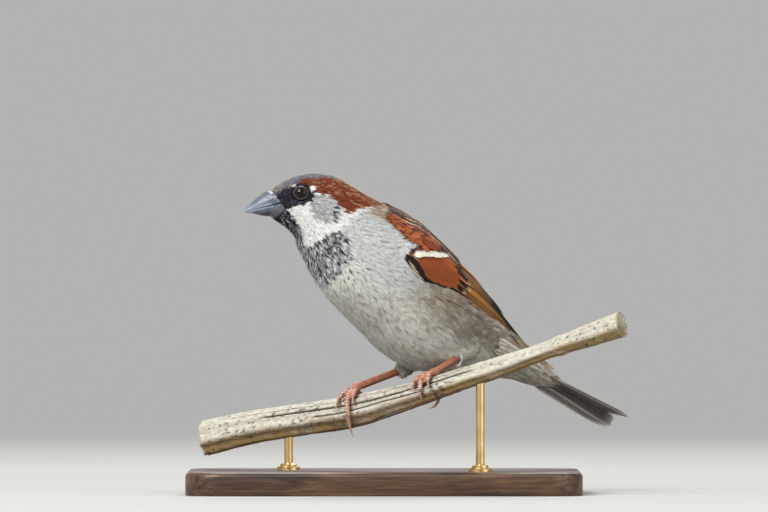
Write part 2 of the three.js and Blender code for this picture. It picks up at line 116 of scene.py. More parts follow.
def link_surface(tree, shader, colour, amount, rough, strength=0, deep=0):
    """Links a colour, and the roughness and bump that follow an amount: rough is at 0 and at 1."""
    tree.links.new(colour, shader.inputs["Base Color"])
    spread = add_node(tree, "ShaderNodeMapRange", {"Value": amount, "To Min": rough[0], "To Max": rough[1]})
    tree.links.new(spread.outputs["Result"], shader.inputs["Roughness"])
    if strength:
        tree.links.new(add_bump(tree, amount, strength, deep), shader.inputs["Normal"])


def new_finish(name, **sockets):
    """A material with a Principled shader, whose plain values are set on its own sockets."""
    material = bpy.data.materials.new(name)
    material.use_nodes = True
    shader = material.node_tree.nodes["Principled BSDF"]
    for key, value in sockets.items():
        shader.inputs[key.replace("_", " ")].default_value = value
    return material, material.node_tree, shader


def oiled_wood():
    material, tree, shader = new_finish("oiled_wood", IOR=1.45)
    place = own_places(tree)
    grain = add_noise(tree, stretched(tree, place, (14, 150, 150)), 1.6, 8, Distortion=1.4)
    pore = add_noise(tree, stretched(tree, place, (120, 2600, 2600)), 1, 3)
    colour = add_ramp(tree, grain, [(0.32, WOOD_DARK), (0.5, WOOD_MID), (0.68, WOOD_LIGHT)])
    tint = add_ramp(tree, pore, [(0.38, (0.45, 0.42, 0.4, 1)), (0.5, (1, 1, 1, 1))])
    link_surface(tree, shader, tinted(tree, colour, tint, 0.8), pore, (0.52, 0.3), 0.35, 0.2 * MM)
    return material


def add_piece(name, mesh, material, nodes=()):
    """Puts a mesh in the scene as a piece of the model, in the place of the CAD nodes it stands for."""
    piece = bpy.data.objects.new(name, mesh)
    bpy.context.scene.collection.objects.link(piece)
    mesh.materials.append(material)
    mesh.shade_smooth()
    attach(piece, "root")
    if nodes:
        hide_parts(*nodes)


def mesh_of(name, bm):
    """The finished mesh of a bmesh, with its faces pointing outwards."""
    bmesh.ops.recalc_face_normals(bm, faces=bm.faces)
    mesh = bpy.data.meshes.new(name)
    bm.to_mesh(mesh)
    bm.free()
    return mesh


def crease(mesh, degrees):
    """Keeps a crisp edge where two faces meet at more than an angle."""
    mesh.set_sharp_from_angle(angle=math.radians(degrees))


def round_over(bm, edges, size, steps):
    bmesh.ops.bevel(bm, geom=edges, offset=size, segments=steps, profile=0.5, affect="EDGES", material=-1)


def stand_base():
    bm = bmesh.new()
    size = BASE_HIGH - BASE_LOW
    middle = (BASE_HIGH + BASE_LOW) / 2
    bmesh.ops.create_cube(bm, size=1, matrix=Matrix.Translation(middle) @ Matrix.Diagonal((*size, 1)))
    uprights = [e for e in bm.edges if abs(e.verts[0].co.z - e.verts[1].co.z) > size.z / 2]
    round_over(bm, uprights, BASE_CORNER, 14)
    upper_rim = [e for e in bm.edges if min(v.co.z for v in e.verts) > BASE_HIGH.z - TOUCHING]
    round_over(bm, upper_rim, BASE_EASE, 5)
    lower_rim = [e for e in bm.edges if max(v.co.z for v in e.verts) < BASE_LOW.z + TOUCHING]
    round_over(bm, lower_rim, BASE_EASE / 3, 2)
    mesh = mesh_of("stand_base_slab", bm)
    add_piece("stand_base_slab", mesh, oiled_wood(), ["stand_base"])
    crease(mesh, 35)


stand_base()


# ---- Stand rods ----
# Two brass rods, turned with a stepped collar at the foot, which screw into the base. Their upper
# ends are let into the underside of the stem.
COLLAR = [(0, 0), (4, 0), (4, 0.9), (3.7, 1.2), (2.9, 1.35), (2.9, 1.9), (2.4, 2.2), (1.5, 2.45)]
ROD_RADIUS = 1.5 * MM
ROD_BEVEL = 0.3 * MM
ROD_CLEAR = 0.02 * MM  # between the collar's underside and the base
BRASS = (0.62, 0.41, 0.16, 1)
BRASS_WORN = (0.78, 0.58, 0.29, 1)


def brushed_brass():
    material, tree, shader = new_finish("brushed_brass", Metallic=1.0)
    place = own_places(tree)
    brush = add_noise(tree, stretched(tree, place, (900, 900, 9000)), 1, 2)
    cloud = add_noise(tree, place, 160, 4)
    colour = add_ramp(tree, cloud, [(0.35, BRASS), (0.7, BRASS_WORN)])
    link_surface(tree, shader, colour, brush, (0.2, 0.42), 0.25, 0.05 * MM)
    return material


def stand_rod(number, brass):
    low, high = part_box(f"stand_rod_{number}")
    middle = (low + high) / 2
    foot = BASE_HIGH.z + ROD_CLEAR
    bm = bmesh.new()
    outline = [Vector((r * MM, 0, foot + z * MM)) for r, z in COLLAR]
    outline += [Vector((ROD_RADIUS, 0, high.z - ROD_BEVEL)), Vector((ROD_RADIUS - ROD_BEVEL, 0, high.z))]
    outline.append(Vector((0, 0, high.z)))
    corners = [bm.verts.new(p) for p in outline]
    edges = [bm.edges.new(pair) for pair in zip(corners, corners[1:])]
    bmesh.ops.spin(bm, geom=corners + edges, cent=(0, 0, 0), axis=(0, 0, 1), angle=2 * math.pi,
                   steps=48, use_merge=True)
    bmesh.ops.remove_doubles(bm, verts=bm.verts, dist=TOUCHING)
    bmesh.ops.translate(bm, vec=(middle.x, middle.y, 0), verts=bm.verts)
    mesh = mesh_of(f"stand_rod_{number}_turned", bm)
    add_piece(mesh.name, mesh, brass, [f"stand_rod_{number}"])
    crease(mesh, 30)


brass_finish = brushed_brass()
for rod_number in (1, 2):
    stand_rod(rod_number, brass_finish)


# ---- Stem ----
# A cut length of dry plant stem: cream skin over a pithy core, ribbed lengthwise and split by long
# cracks painted dark as their shade, freckled with lichen on top, and painted darker ochre below as shade.
STEM = np.array([  # x, y, z, half its height, half its depth
    [-62, 24.3, 18.6, 6.4, 4.9], [-46, 16.4, 22.4, 6, 4.7], [-29, 7.9, 25.2, 5.8, 4.6],
    [-11, -1, 28.1, 5.8, 4.5], [5.5, -9.8, 32.7, 4.9, 4.2], [15.9, -15.8, 35.9, 4.3, 3.9],
    [26.2, -20.6, 39.5, 4, 3.7], [40, -27, 44, 3.7, 3.5], [56, -34.3, 49.8, 3.2, 3.2],
    [69, -40.7, 54.4, 4, 3.8], [81, -46.5, 58.6, 4.6, 4.2],
]) * MM
STEM_RIBS = 7
RIB_DEPTH = 0.35 * MM
STEM_RINGS, STEM_SIDES = 300, 144
CRACKS = [  # turn from the top towards the front in degrees, width in degrees, depth, from, to
    (40, 4.6, 0.6 * MM, 0.05, 0.62), (64, 4.0, 0.55 * MM, 0.12, 0.66), (-52, 3.2, 0.5 * MM, 0.1, 0.8),
    (150, 2.8, 0.4 * MM, 0.25, 0.9), (18, 3.4, 0.45 * MM, 0.3, 0.6), (88, 3.4, 0.45 * MM, 0.22, 0.5),
]
KNOT_AT = 0.83  # share of the stem's length where an old leaf was joined


def linear(*colour):
    """Screen colour values from 0 to 255 as the linear light that materials mix."""
    c = np.array(colour, float) / 255
    return np.where(c <= 0.04045, c / 12.92, ((c + 0.055) / 1.055) ** 2.4)


STEM_CREAM = linear(172, 169, 157)
STEM_GREY = linear(150, 142, 128)
STEM_OCHRE_SHADE = linear(120, 94, 44)
STEM_CRACK_SHADE = linear(52, 38, 28)
STEM_LICHEN = linear(44, 46, 56)


def through(points, share):
    """A smooth line through points (Catmull-Rom) at shares of its length."""
    rows = np.vstack([2 * points[0] - points[1], points, 2 * points[-1] - points[-2]])
    x = np.clip(share, 0, 1) * (len(points) - 1)
    i = np.minimum(x.astype(int), len(points) - 2)
    f = (x - i)[..., None]
    a, b, c, d = rows[i], rows[i + 1], rows[i + 2], rows[i + 3]
    return 0.5 * (2 * b + (c - a) * f + (2 * a - 5 * b + 4 * c - d) * f**2 + (3 * b - a - 3 * c + d) * f**3)


def unit(vectors):
    return vectors / np.maximum(np.linalg.norm(vectors, axis=-1, keepdims=True), 1e-12)


TURNED = np.array(Matrix.Rotation(0.9, 3, Vector((1, 2, 3))))  # sets the noise's grid askew


def soft_noise(places, size, seed):
    """Smooth noise from about -1 to 1 that changes over a given size, with half as much finer noise."""
    coarse = lattice_noise(places @ TURNED, size, seed)
    return 0.7 * coarse + 0.4 * lattice_noise(places @ TURNED.T, 0.45 * size, seed + 5)


def lattice_noise(places, size, seed):
    cell = places / size + 17.3 * seed
    low = np.floor(cell)
    f = cell - low
    f = f * f * (3 - 2 * f)
    low = low.astype(np.int64)
    total = np.zeros(places.shape[:-1])
    for corner in np.ndindex(2, 2, 2):
        spot = low + np.array(corner)
        mixed = spot[..., 0] * 73856093 ^ spot[..., 1] * 19349663 ^ spot[..., 2] * 83492791
        mixed = mixed ^ seed * 2654435761
        mixed = (mixed ^ (mixed >> 13)) * 1274126177 & 0x7FFFFFFF
        mixed = (mixed ^ (mixed >> 16)) & 0xFFFF
        weight = np.prod(np.where(np.array(corner) == 1, f, 1 - f), axis=-1)
        total += weight * (mixed / 32767.5 - 1)
    return total


def smooth_step(low, high, value):
    x = np.clip((value - low) / (high - low), 0, 1)
    return x * x * (3 - 2 * x)


def stem_axes(share):
    """The stem's middle, half-measures and axes at shares of its length."""
    line = through(STEM, share)
    ahead = through(STEM, share + 0.01)[..., :3] - through(STEM, share - 0.01)[..., :3]
    along = unit(ahead)
    front = unit(np.cross(along, [0, 0, 1]))
    return line[..., :3], line[..., 3], line[..., 4], front, np.cross(front, along)


def round_stem(share, turn, off):
    """A point off the stem's surface: turn in radians from its top towards its front."""
    middle, high, deep, front, up = stem_axes(share)
    return (middle + up * ((high + off) * np.cos(turn))[..., None]
            + front * ((deep + off) * np.sin(turn))[..., None])


def points_of(bm):
    return np.array([v.co for v in bm.verts])


def normals_of(bm):
    bm.normal_update()
    return np.array([v.normal for v in bm.verts])


def move_points(bm, places):
    for vert, place in zip(bm.verts, places):
        vert.co = place


def tube(rings, sides, place):
    """A closed tube: place(shares, turns) gives the points at shares of its length and turns round it."""
    bm = bmesh.new()
    bmesh.ops.create_cone(bm, cap_ends=True, segments=sides, radius1=1, radius2=1, depth=1)
    staves = [e for e in bm.edges if abs(e.verts[0].co.z - e.verts[1].co.z) > 0.5]
    bmesh.ops.subdivide_edges(bm, edges=staves, cuts=rings - 2, use_grid_fill=True)
    raw = points_of(bm)
    share, turn = raw[:, 2] + 0.5, np.arctan2(raw[:, 1], raw[:, 0])
    move_points(bm, place(share, turn))
    return bm, share, turn


def paint(mesh, colours):
    """Stores a colour for each corner point of a mesh."""
    layer = mesh.attributes.new("shade", "FLOAT_COLOR", "POINT")
    rgba = np.ones((len(mesh.vertices), 4), np.float32)
    rgba[:, :3] = colours
    layer.data.foreach_set("color", rgba.ravel())


def mix(a, b, share):
    share = np.asarray(share)[..., None]
    return a * (1 - share) + b * share


def painted_colour(tree):
    return add_node(tree, "ShaderNodeAttribute", attribute_name="shade").outputs["Color"]


def dry_stem():
    material, tree, shader = new_finish("dry_stem")
    place = own_places(tree)
    lie = (0, math.radians(14), math.radians(26))
    fibre = add_noise(tree, stretched(tree, place, (60, 1100, 1100), lie), 1, 5)
    fleck = add_noise(tree, place, 900, 4, Roughness=0.7)
    tint = add_ramp(tree, fibre, [(0.3, (0.62, 0.56, 0.5, 1)), (0.6, (1.08, 1.06, 1.02, 1))])
    spots = add_ramp(tree, fleck, [(0.33, (0.3, 0.3, 0.34, 1)), (0.4, (1, 1, 1, 1))])
    colour = tinted(tree, tinted(tree, painted_colour(tree), tint, 0.75), spots, 0.8)
    link_surface(tree, shader, colour, fibre, (0.8, 0.52), 0.5, 0.15 * MM)
    return material


def crack_depths(share, turn):
    """How deep each point of the stem lies in a crack, from 0 to 1, and in metres."""
    along = np.stack([share * 30, share * 0, share * 0], -1)
    degrees = np.degrees(turn)
    open_share = np.zeros(len(share))
    depth = np.zeros(len(share))
    for k, (at, wide, deep, start, end) in enumerate(CRACKS):
        wander = at + 5 * soft_noise(along, 4, 20 + k) + 2 * soft_noise(along, 1, 30 + k)
        apart = np.abs((degrees - wander + 180) % 360 - 180)
        runs = smooth_step(start, start + 0.03, share) * (1 - smooth_step(end - 0.04, end, share))
        cut = np.clip(1 - apart / wide, 0, 1) ** 0.7 * runs
        open_share = np.maximum(open_share, cut)
        depth = np.maximum(depth, cut * deep)
    return open_share, depth


def stem_piece():
    state = {}

    def place(share, turn):
        ribs = 0.25 + 0.75 * (1 - share)
        groove = RIB_DEPTH * ribs * (np.cos(turn * STEM_RIBS) - 1)
        opened, deep = crack_depths(share, turn)
        flat = round_stem(share, turn, groove * 0)
        skin = 0.12 * MM * soft_noise(flat, 2.2 * MM, 3) + 0.06 * MM * soft_noise(flat, 0.7 * MM, 4)
        knot = 0.35 * MM * np.exp(-(((share - KNOT_AT) / 0.012) ** 2))
        state.update(opened=opened, flat=flat)
        return round_stem(share, turn, groove - deep + skin * (1 - opened) + knot - 0.1 * MM)

    bm, share, turn = tube(STEM_RINGS, STEM_SIDES, place)
    ends = [f for f in bm.faces if len(f.verts) > 4]
    bmesh.ops.inset_region(bm, faces=ends, thickness=0.5 * MM, depth=0.15 * MM)
    bmesh.ops.inset_region(bm, faces=ends, thickness=0.6 * MM, depth=-0.5 * MM)
    bmesh.ops.poke(bm, faces=ends)
    mesh = mesh_of("dry_stem", bm)
    add_piece("dry_stem", mesh, dry_stem(), ["stem"])

    # The underside is painted a darker ochre: painted shade.
    under = smooth_step(0.05, -0.55, np.cos(turn) + 0.25 * soft_noise(state["flat"], 6 * MM, 7))
    colour = mix(STEM_CREAM, STEM_OCHRE_SHADE, under * 0.9)
    patch = smooth_step(0.1, 0.6, soft_noise(state["flat"] * [0.35, 1, 1], 4 * MM, 8))
    colour = mix(colour, STEM_GREY, 0.55 * patch)
    stain = np.exp(-(((share - 0.53) / 0.07) ** 2)) + 0.8 * np.exp(-(((share - 0.22) / 0.05) ** 2))
    cluster = soft_noise(state["flat"] * [0.5, 1, 1], 5 * MM, 10)
    fleck = soft_noise(state["flat"] * [0.6, 1, 1], 0.75 * MM, 9)
    specks = smooth_step(0.36, 0.52, fleck + 0.3 * cluster + 0.3 * stain - 0.1)
    colour = mix(colour, STEM_LICHEN, 0.85 * specks)
    # The cracks are painted dark brown: painted shade in the splits.
    colour = mix(colour, STEM_CRACK_SHADE, np.clip(state["opened"] * 1.4, 0, 1))
    everywhere = np.tile(mix(STEM_CREAM, STEM_OCHRE_SHADE, 0.5), (len(mesh.vertices), 1))
    everywhere[:len(share)] = colour
    paint(mesh, everywhere)
    crease(mesh, 60)


stem_piece()


# ---- Skin ----
# One unbroken skin over the bird's head, body, upper wings and legs. It lies under the feathers by
# the depth of the coat, comes to the surface on the bare legs, and carries the same markings.
FACE = np.array([-39, -18.8, 99.9]) * MM
STATIONS = [  # name, step in mm, pitch, yaw, roll, half-measures to the back, belly and side in mm
    ("face", 0, 0, 6, 0, 4.5, 4.8, 3.9), ("lores", 3.5, -3, 6, 0, 6.7, 7.6, 5.6),
    ("eyes", 5.5, -2, 6, 0, 9.6, 11.8, 8.4), ("ears", 6.5, 15, 8, 0, 12.6, 13.6, 10.8),
    ("nape", 8.7, 39, 14, 2, 14.8, 16.2, 13), ("shoulders", 13.9, 44, 22, 6, 19.4, 20, 17.8),
    ("breast", 18.7, 38, 28, 10, 20.6, 21.4, 20.4), ("belly", 16, 40, 30, 12, 17.4, 20.6, 19),
    ("vent", 21.4, 25, 30, 14, 10, 13.4, 13), ("tail_root", 16.1, 24, 30, 17, 5, 6.4, 8.6),
    ("coverts", 13.3, 26, 30, 19, 1.6, 3, 6.4),
]
LAST = len(STATIONS) - 1
COAT_DEPTH = [0.4, 0.6, 0.9, 1.2, 1.8, 2.4, 2.7, 2.7, 2.0, 1.3, 0.7]  # in mm, at each station
THIGH_DEPTH = 0.9 * MM
LEG_SINK = 0.16 * MM  # takes back what closing the gaps added
FLESH = ["head", "neck", "trunk", "rump"]
FLESH += [f"{part}_{side}" for side in ("left", "right") for part in ("thigh", "tarsus", "foot")]
FLESH += [f"wing_{side}_coverts" for side in ("left", "right")]
FLESH += [f"toe_{side}_{toe}" for side in ("left", "right") for toe in (1, 2, 3, 4)]
SKIN_VOXEL = 0.46 * MM
CLOSE_GAPS = 0.2 * MM  # swells each solid, so that neighbours melt together
chance = np.random.default_rng(11)

LEGS = {  # joints in mm; toes as stem X and turn round the stem at each end, with lengths
    "right": {
        "hip": (16, 14.5, 52), "ankle": (6.6, 6.6, 42.8), "foot": (-9.4, -0.6, 36.8), "cuff": 0.6,
        "toes": [((-9, -8), (-20, -128), 9.5, 6.5, 0), ((-8, -7.7), (18, 74), 8, 4.5, 0),
                 ((-9.4, -10.2), (10, 150), 13, 5.5, 3), ((-11, -14), (4, 76), 9.5, 4.5, 0)],
    },
    "left": {
        "hip": (27, 2, 58), "ankle": (30.5, -4, 50.3), "foot": (17.2, -14, 41.9), "cuff": 7.6,
        "toes": [((18.4, 14.6), (-24, -196), 11, 6.5, 0.6), ((15.4, 12.2), (0, 84), 8.5, 4, 0),
                 ((16.4, 14.2), (10, 128), 12, 5.5, 0), ((17.8, 17.6), (22, 92), 9, 4.5, 0)],
    },
}
TOE_THICK, TOE_TIP, TOE_PAD = 1.12 * MM, 0.84 * MM, 0.12 * MM
TOE_START = 0.06  # share of its line where a toe leaves the foot
TOE_OFF = 1.22 * MM  # middle of a toe over the stem
TARSUS_DEEP, TARSUS_WIDE, TARSUS_KNUCKLE, TARSUS_SHORT = 1.25 * MM, 0.95 * MM, 1.35 * MM, 1.9 * MM


def heading(pitch, yaw):
    p, y = np.radians(pitch), np.radians(yaw)
    return np.stack([np.cos(y) * np.cos(p), np.sin(y) * np.cos(p), -np.sin(p)], -1)


def axes_for(along, yaw, roll):
    """Left and up of something that runs along a line, with its left towards yaw and lifted by roll."""
    y, r = np.radians(yaw), np.radians(roll)
    level = np.stack([np.sin(y), -np.cos(y), 0 * y], -1)
    left = unit(level - along * np.sum(level * along, -1, keepdims=True))
    up = np.cross(left, along)
    r = r[..., None]
    return left * np.cos(r) + up * np.sin(r), up * np.cos(r) - left * np.sin(r)


def body_stations():
    rows, place = [], FACE
    for _, step, pitch, yaw, roll, back, belly, side in STATIONS:
        place = place + heading(pitch, yaw) * step * MM
        rows.append([*place, back * MM, belly * MM, side * MM, yaw, roll])
    return np.array(rows)


BODY = body_stations()
BODY_END_STEP = STATIONS[-1][1] * MM


def body_at(station):
    """The body's middle, half-measures and axes at station numbers. It runs on straight past the last."""
    station = np.asarray(station, float)
    line = through(BODY, station / LAST)
    ahead = through(BODY, station / LAST + 0.045)[..., :3] - through(BODY, station / LAST - 0.045)[..., :3]
    along = unit(ahead)
    left, up = axes_for(along, line[..., 6], line[..., 7])
    beyond = np.maximum(station - LAST, 0)[..., None] * BODY_END_STEP
    return line[..., :3] + along * beyond, line[..., 3:6], along, left, up


def body_radius(station, turn):
    """Half-measure of the plumage at a turn from the back, in radians, towards the left."""
    back, belly, side = np.moveaxis(body_at(station)[1], -1, 0)
    high = np.where(np.cos(turn) > 0, back, belly)
    return 1 / np.sqrt((np.cos(turn) / high) ** 2 + (np.sin(turn) / side) ** 2)


def body_place(points):
    """Station, turn from the back in degrees (left positive) and distance from the middle line."""
    steps = np.linspace(0, LAST, 401)
    middle, _, along, left, up = body_at(steps)
    station, turn, apart = (np.empty(len(points)) for _ in range(3))
    for start in range(0, len(points), 4096):
        some = slice(start, start + 4096)
        off = points[some, None, :] - middle[None]
        ahead = np.einsum("pkc,kc->pk", off, along)
        passed = (ahead[:, :-1] >= 0) & (ahead[:, 1:] < 0)
        far = np.where(passed, np.linalg.norm(off[:, :-1], axis=2), 1e9)
        k = far.argmin(1)
        row = np.arange(len(k))
        missed = far[row, k] > 1e8
        k = np.where(missed, np.where(ahead[:, 0] < 0, 0, len(steps) - 2), k)
        f = np.clip(ahead[row, k] / (ahead[row, k] - ahead[row, k + 1] + 1e-12), 0, 1)
        station[some] = steps[k] + f * (steps[1] - steps[0])
        middle_here = middle[k] * (1 - f)[:, None] + middle[k + 1] * f[:, None]
        q = points[some] - middle_here
        out, high = np.sum(q * left[k], 1), np.sum(q * up[k], 1)
        turn[some] = np.degrees(np.arctan2(out, high))
        apart[some] = np.hypot(out, high)
    return station, turn, apart


def at_stations(values, station):
    return np.interp(station, np.arange(LAST + 1), values)


# Markings of an adult male, as colours and as outlines in station number and turn from the back.
GREY_CROWN = linear(114, 112, 118)
BUFF_FOREHEAD = linear(150, 138, 122)
CHESTNUT = linear(116, 48, 26)
BUFF_FLECK = linear(206, 166, 122)
BLACK = linear(20, 18, 24)
PAINTED_BLUE_SHEEN = linear(88, 90, 114)
BIB_GREY = linear(150, 150, 162)
WHITE = linear(250, 250, 245)
EAR_GREY = linear(168, 166, 167)
BREAST_GREY = linear(205, 207, 205)
BELLY_WHITE = linear(226, 225, 213)
FLANK_BROWN = linear(150, 132, 104)
VENT_BROWN = linear(104, 82, 58)
UNDERTAIL = linear(212, 204, 188)
MANTLE_BUFF = linear(148, 113, 78)
STREAK_BUFF = linear(204, 168, 122)
RUMP_BROWN = linear(132, 116, 98)
LEG_PINK = linear(172, 118, 98)
LEG_DARK = linear(116, 70, 52)
LEG_PAINTED_HIGHLIGHT = linear(206, 172, 154)
TARSUS_BROWN = linear(158, 98, 66)

CHEEK_PATCH = [(1.05, 100), (1.3, 108), (1.48, 116), (1.75, 128), (2, 136), (2.5, 147), (3, 153),
               (3.75, 160), (3.89, 136), (3.96, 119.5), (4.03, 103), (4.08, 83), (4.14, 60), (4.42, 36),
               (4.2, 44.7), (4.06, 55.5), (3.95, 68.8), (3.89, 86.3), (3.87, 72.1), (3.58, 68.1),
               (3.39, 63.7), (3.12, 61.3), (2.71, 61.4), (2.74, 67.5), (2.62, 86), (2.07, 97.3), (1.49, 105.2)]
EAR_PATCH = [(2.6, 92), (2.74, 67), (3.12, 61), (3.39, 63.5), (3.58, 68), (3.74, 78), (3.86, 87), (3.8, 97),
             (3.6, 108), (3.2, 112), (2.85, 106)]
CHESTNUT_BAND = [(1.95, 30), (2.0, 34), (2.27, 45), (2.71, 61.4), (3.12, 61.3), (3.39, 63.7), (3.58, 68.1),
                 (3.87, 72.1), (3.89, 86.3), (3.95, 68.8), (4.06, 55.5), (4.2, 44.7), (4.42, 33), (4.55, 20),
                 (4.6, -1), (3.2, -1), (3.07, 13.7), (2.94, 20.5), (2.62, 26), (2.19, 28)]
CROWN_PATCH = [(-1, -1), (-1, 50), (0.6, 48), (1.0, 45.6), (1.56, 41.6), (1.92, 33.7), (2.19, 28.5),
               (2.62, 27.8), (2.94, 20.5), (3.07, 13.7), (3.25, -1)]
MASK_PATCH = [(-1, 50), (0.6, 48), (1.0, 45.6), (1.56, 41.6), (1.92, 33.7), (2.27, 45), (2.55, 55),
              (2.74, 66), (2.7, 76), (2.62, 86), (2.35, 93), (2.07, 97.3), (1.8, 101), (1.49, 106),
              (1.3, 112), (1.0, 125), (-1, 125)]
BIB_PATCH = [(-1, 118), (0.6, 118), (1.1, 110), (1.3, 108), (1.48, 116), (1.75, 128), (2, 136), (2.5, 147),
             (3, 153), (3.75, 160), (3.89, 136), (3.96, 119.5), (4.03, 103), (4.15, 98), (4.32, 104),
             (4.51, 113), (4.71, 124), (4.77, 145), (4.82, 171), (4.84, 181), (-1, 181)]
BIB_BLACK = [0, 0.7, 1.4, 2.4, 3.4, 4.2, 4.6, 4.9], [1, 0.94, 0.8, 0.7, 0.62, 0.55, 0.42, 0.22]
BIB_FRINGED = [0, 1.8, 3, 4, 4.8], [0.05, 0.2, 0.45, 0.65, 0.65]  # stations, and shares of feathers
CREAM_SPOT = (1.77, 43, 0.9 * MM)  # station, turn and radius
WHITE_SPOT = (2.5, 54.5, 1.35 * MM)


def inside(outline, station, turn):
    """Whether each place lies within an outline, by counting the sides it crosses."""
    within = np.zeros(len(station), bool)
    for (s0, t0), (s1, t1) in zip(outline, outline[1:] + outline[:1]):
        if t0 == t1:
            continue
        crosses = ((t0 > turn) != (t1 > turn)) & (station < (s1 - s0) * (turn - t0) / (t1 - t0) + s0)
        within ^= crosses
    return within


def near_spot(spot, places):
    """How far each place lies from a round mark on either side of the head, as a share of its radius."""
    station, turn, radius = spot
    far = np.full(len(places), 9.0)
    for side in (1, -1):
        angle = np.radians(turn) * side
        middle, _, _, left, up = body_at(station)
        reach = body_radius(station, angle)
        centre = middle + (left * math.sin(angle) + up * math.cos(angle)) * reach
        far = np.minimum(far, np.linalg.norm(places - centre, axis=1) / radius)
    return far


def markings(station, turn, places, ragged):
    """Colours of the base and tip of a feather at each place, and how far its tip colour reaches."""
    count = len(station)
    turn = np.abs(turn)
    reach = body_radius(station, np.radians(turn))
    s = station + ragged * chance.normal(0, 0.35 * MM, count) / (12 * MM)
    t = turn + np.degrees(ragged * chance.normal(0, 0.35 * MM, count) / reach)
    cloud = soft_noise(places, 6 * MM, 41)
    fine = soft_noise(places, 1.7 * MM, 42)

    back = mix(mix(MANTLE_BUFF, FLANK_BROWN, 0.3), RUMP_BROWN, smooth_step(6.2, 7.4, s))
    side = mix(BREAST_GREY, FLANK_BROWN, smooth_step(5.3, 6.5, s + 0.35 * cloud))
    vent = smooth_step(6.9, 7.4, s + 0.3 * cloud) * smooth_step(8.3, 7.8, s)
    side = mix(side, VENT_BROWN, 0.75 * vent)
    wisp = chance.random(count)
    side = mix(side, side * 0.6, 0.8 * smooth_step(0.8, 0.9, wisp) * smooth_step(5.4, 6.2, s))
    side = mix(side, BELLY_WHITE, 0.6 * smooth_step(0.22, 0.1, wisp))
    under = mix(BELLY_WHITE, BREAST_GREY, 0.35 * smooth_step(-0.2, 0.6, cloud))
    under = mix(under, UNDERTAIL, smooth_step(7.8, 8.8, s))
    under = mix(under, FLANK_BROWN, 0.7 * smooth_step(0.86, 0.96, wisp) * smooth_step(5, 6, s))
    base = mix(back, side, smooth_step(46, 60, t))
    base = mix(base, under, smooth_step(108, 134, t + 9 * cloud))
    tip = mix(base, WHITE, 0.12 + 0.1 * smooth_step(0, 0.8, fine))
    base = base * (0.92 + 0.07 * fine)[:, None]
    tip_from = np.full(count, 0.55)

    hindneck = (s > 4.3) & (s < 5.0) & (t < 52)
    base[hindneck] = mix(RUMP_BROWN, BREAST_GREY, chance.random(hindneck.sum()) ** 2)
    tip[hindneck] = mix(base[hindneck], STREAK_BUFF, 0.7 * chance.random(hindneck.sum()))

    cheek = inside(CHEEK_PATCH, s, t)
    base[cheek], tip[cheek] = WHITE * 0.9, WHITE
    ear = inside(EAR_PATCH, s, t)
    greyer = mix(EAR_GREY, WHITE, 0.6 * chance.random(ear.sum()) ** 1.5)
    base[ear], tip[ear] = greyer * 0.8, greyer
    rear = ear & (s > 3.55) & (chance.random(count) < 0.16)
    base[rear], tip[rear] = BLACK, BLACK * 1.5

    band = inside(CHESTNUT_BAND, s, t)
    base[band] = CHESTNUT * (0.75 + 0.5 * chance.random((band.sum(), 1)))
    tip[band] = base[band] * 1.15
    flecked = band & (s > 2.4) & (chance.random(count) < 0.2 * (1 - smooth_step(48, 62, t)) + 0.06)
    tip[flecked] = mix(CHESTNUT * 1.7, BUFF_FLECK, chance.random(flecked.sum()))
    crown = inside(CROWN_PATCH, s, t)
    front = smooth_step(1.6, 0.4, s[crown])
    base[crown] = mix(GREY_CROWN, BUFF_FOREHEAD, front) * (0.5 + 0.7 * chance.random((crown.sum(), 1)))
    tip[crown] = base[crown] * 1.25

    mask = inside(MASK_PATCH, s, t)
    base[mask] = BLACK * (0.8 + 0.5 * chance.random((mask.sum(), 1)))
    # The black tips are painted with a bluish sheen: painted highlight.
    tip[mask] = mix(base[mask], PAINTED_BLUE_SHEEN, 0.8 * chance.random(mask.sum()) ** 1.7)
    bib = inside(BIB_PATCH, s, t)
    dark = bib & (chance.random(count) < np.interp(s, *BIB_BLACK))
    base[bib], tip[bib] = BREAST_GREY * 0.7, mix(BIB_GREY, WHITE, chance.random(bib.sum()) ** 1.5)
    base[dark] = tip[dark] = BLACK
    fringed = dark & (chance.random(count) < np.interp(s, *BIB_FRINGED))
    tip[fringed] = mix(BREAST_GREY, WHITE, 0.4)
    tip_from[fringed] = 0.9
    cream = near_spot(CREAM_SPOT, places) < 1
    base[cream] = tip[cream] = mix(BUFF_FLECK, WHITE, 0.5)
    white = near_spot(WHITE_SPOT, places) < 1
    base[white] = tip[white] = WHITE
    return base, tip, tip_from


def stem_share_at(x):
    shares = np.linspace(0, 1, 2001)
    return np.interp(x * MM, through(STEM, shares)[:, 0], shares)


def toe_line(foot, toe):
    """Points of a toe and its claw: from the foot over the stem and down its face."""
    (start, end), (turn_start, turn_end), _, _, lift = toe
    part = np.linspace(0, 1, 7)
    share = stem_share_at(start + (end - start) * part)
    turn = np.radians(turn_start + (turn_end - turn_start) * part)
    return np.vstack([foot, round_stem(share, turn, TOE_OFF + lift * MM * part**4)])


def tarsus_thick(t):
    return TARSUS_DEEP + (TARSUS_KNUCKLE - TARSUS_DEEP) * (2 * t - 1) ** 4


def toe_thick(t):
    return TOE_THICK + (TOE_TIP - TOE_THICK) * t + TOE_PAD * np.cos(6 * math.pi * t)


def leg_lines():
    """Every bare limb as (name, points along it, half-thickness at shares of it, flatness)."""
    limbs = []
    for side, leg in LEGS.items():
        ankle, foot = np.array(leg["ankle"]) * MM, np.array(leg["foot"]) * MM
        end = foot - unit(foot - ankle) * TARSUS_SHORT
        points = np.array([ankle, (ankle + end) / 2, end])
        limbs.append((f"tarsus_{side}", points, tarsus_thick, TARSUS_WIDE / TARSUS_DEEP))
        for number, toe in enumerate(leg["toes"], 1):
            claw_from = toe[2] / (toe[2] + toe[3])
            points = through(toe_line(foot, toe), np.linspace(TOE_START, claw_from, 7))
            limbs.append((f"toe_{side}_{number}", points, toe_thick, 1))
    return limbs


LIMBS = leg_lines()


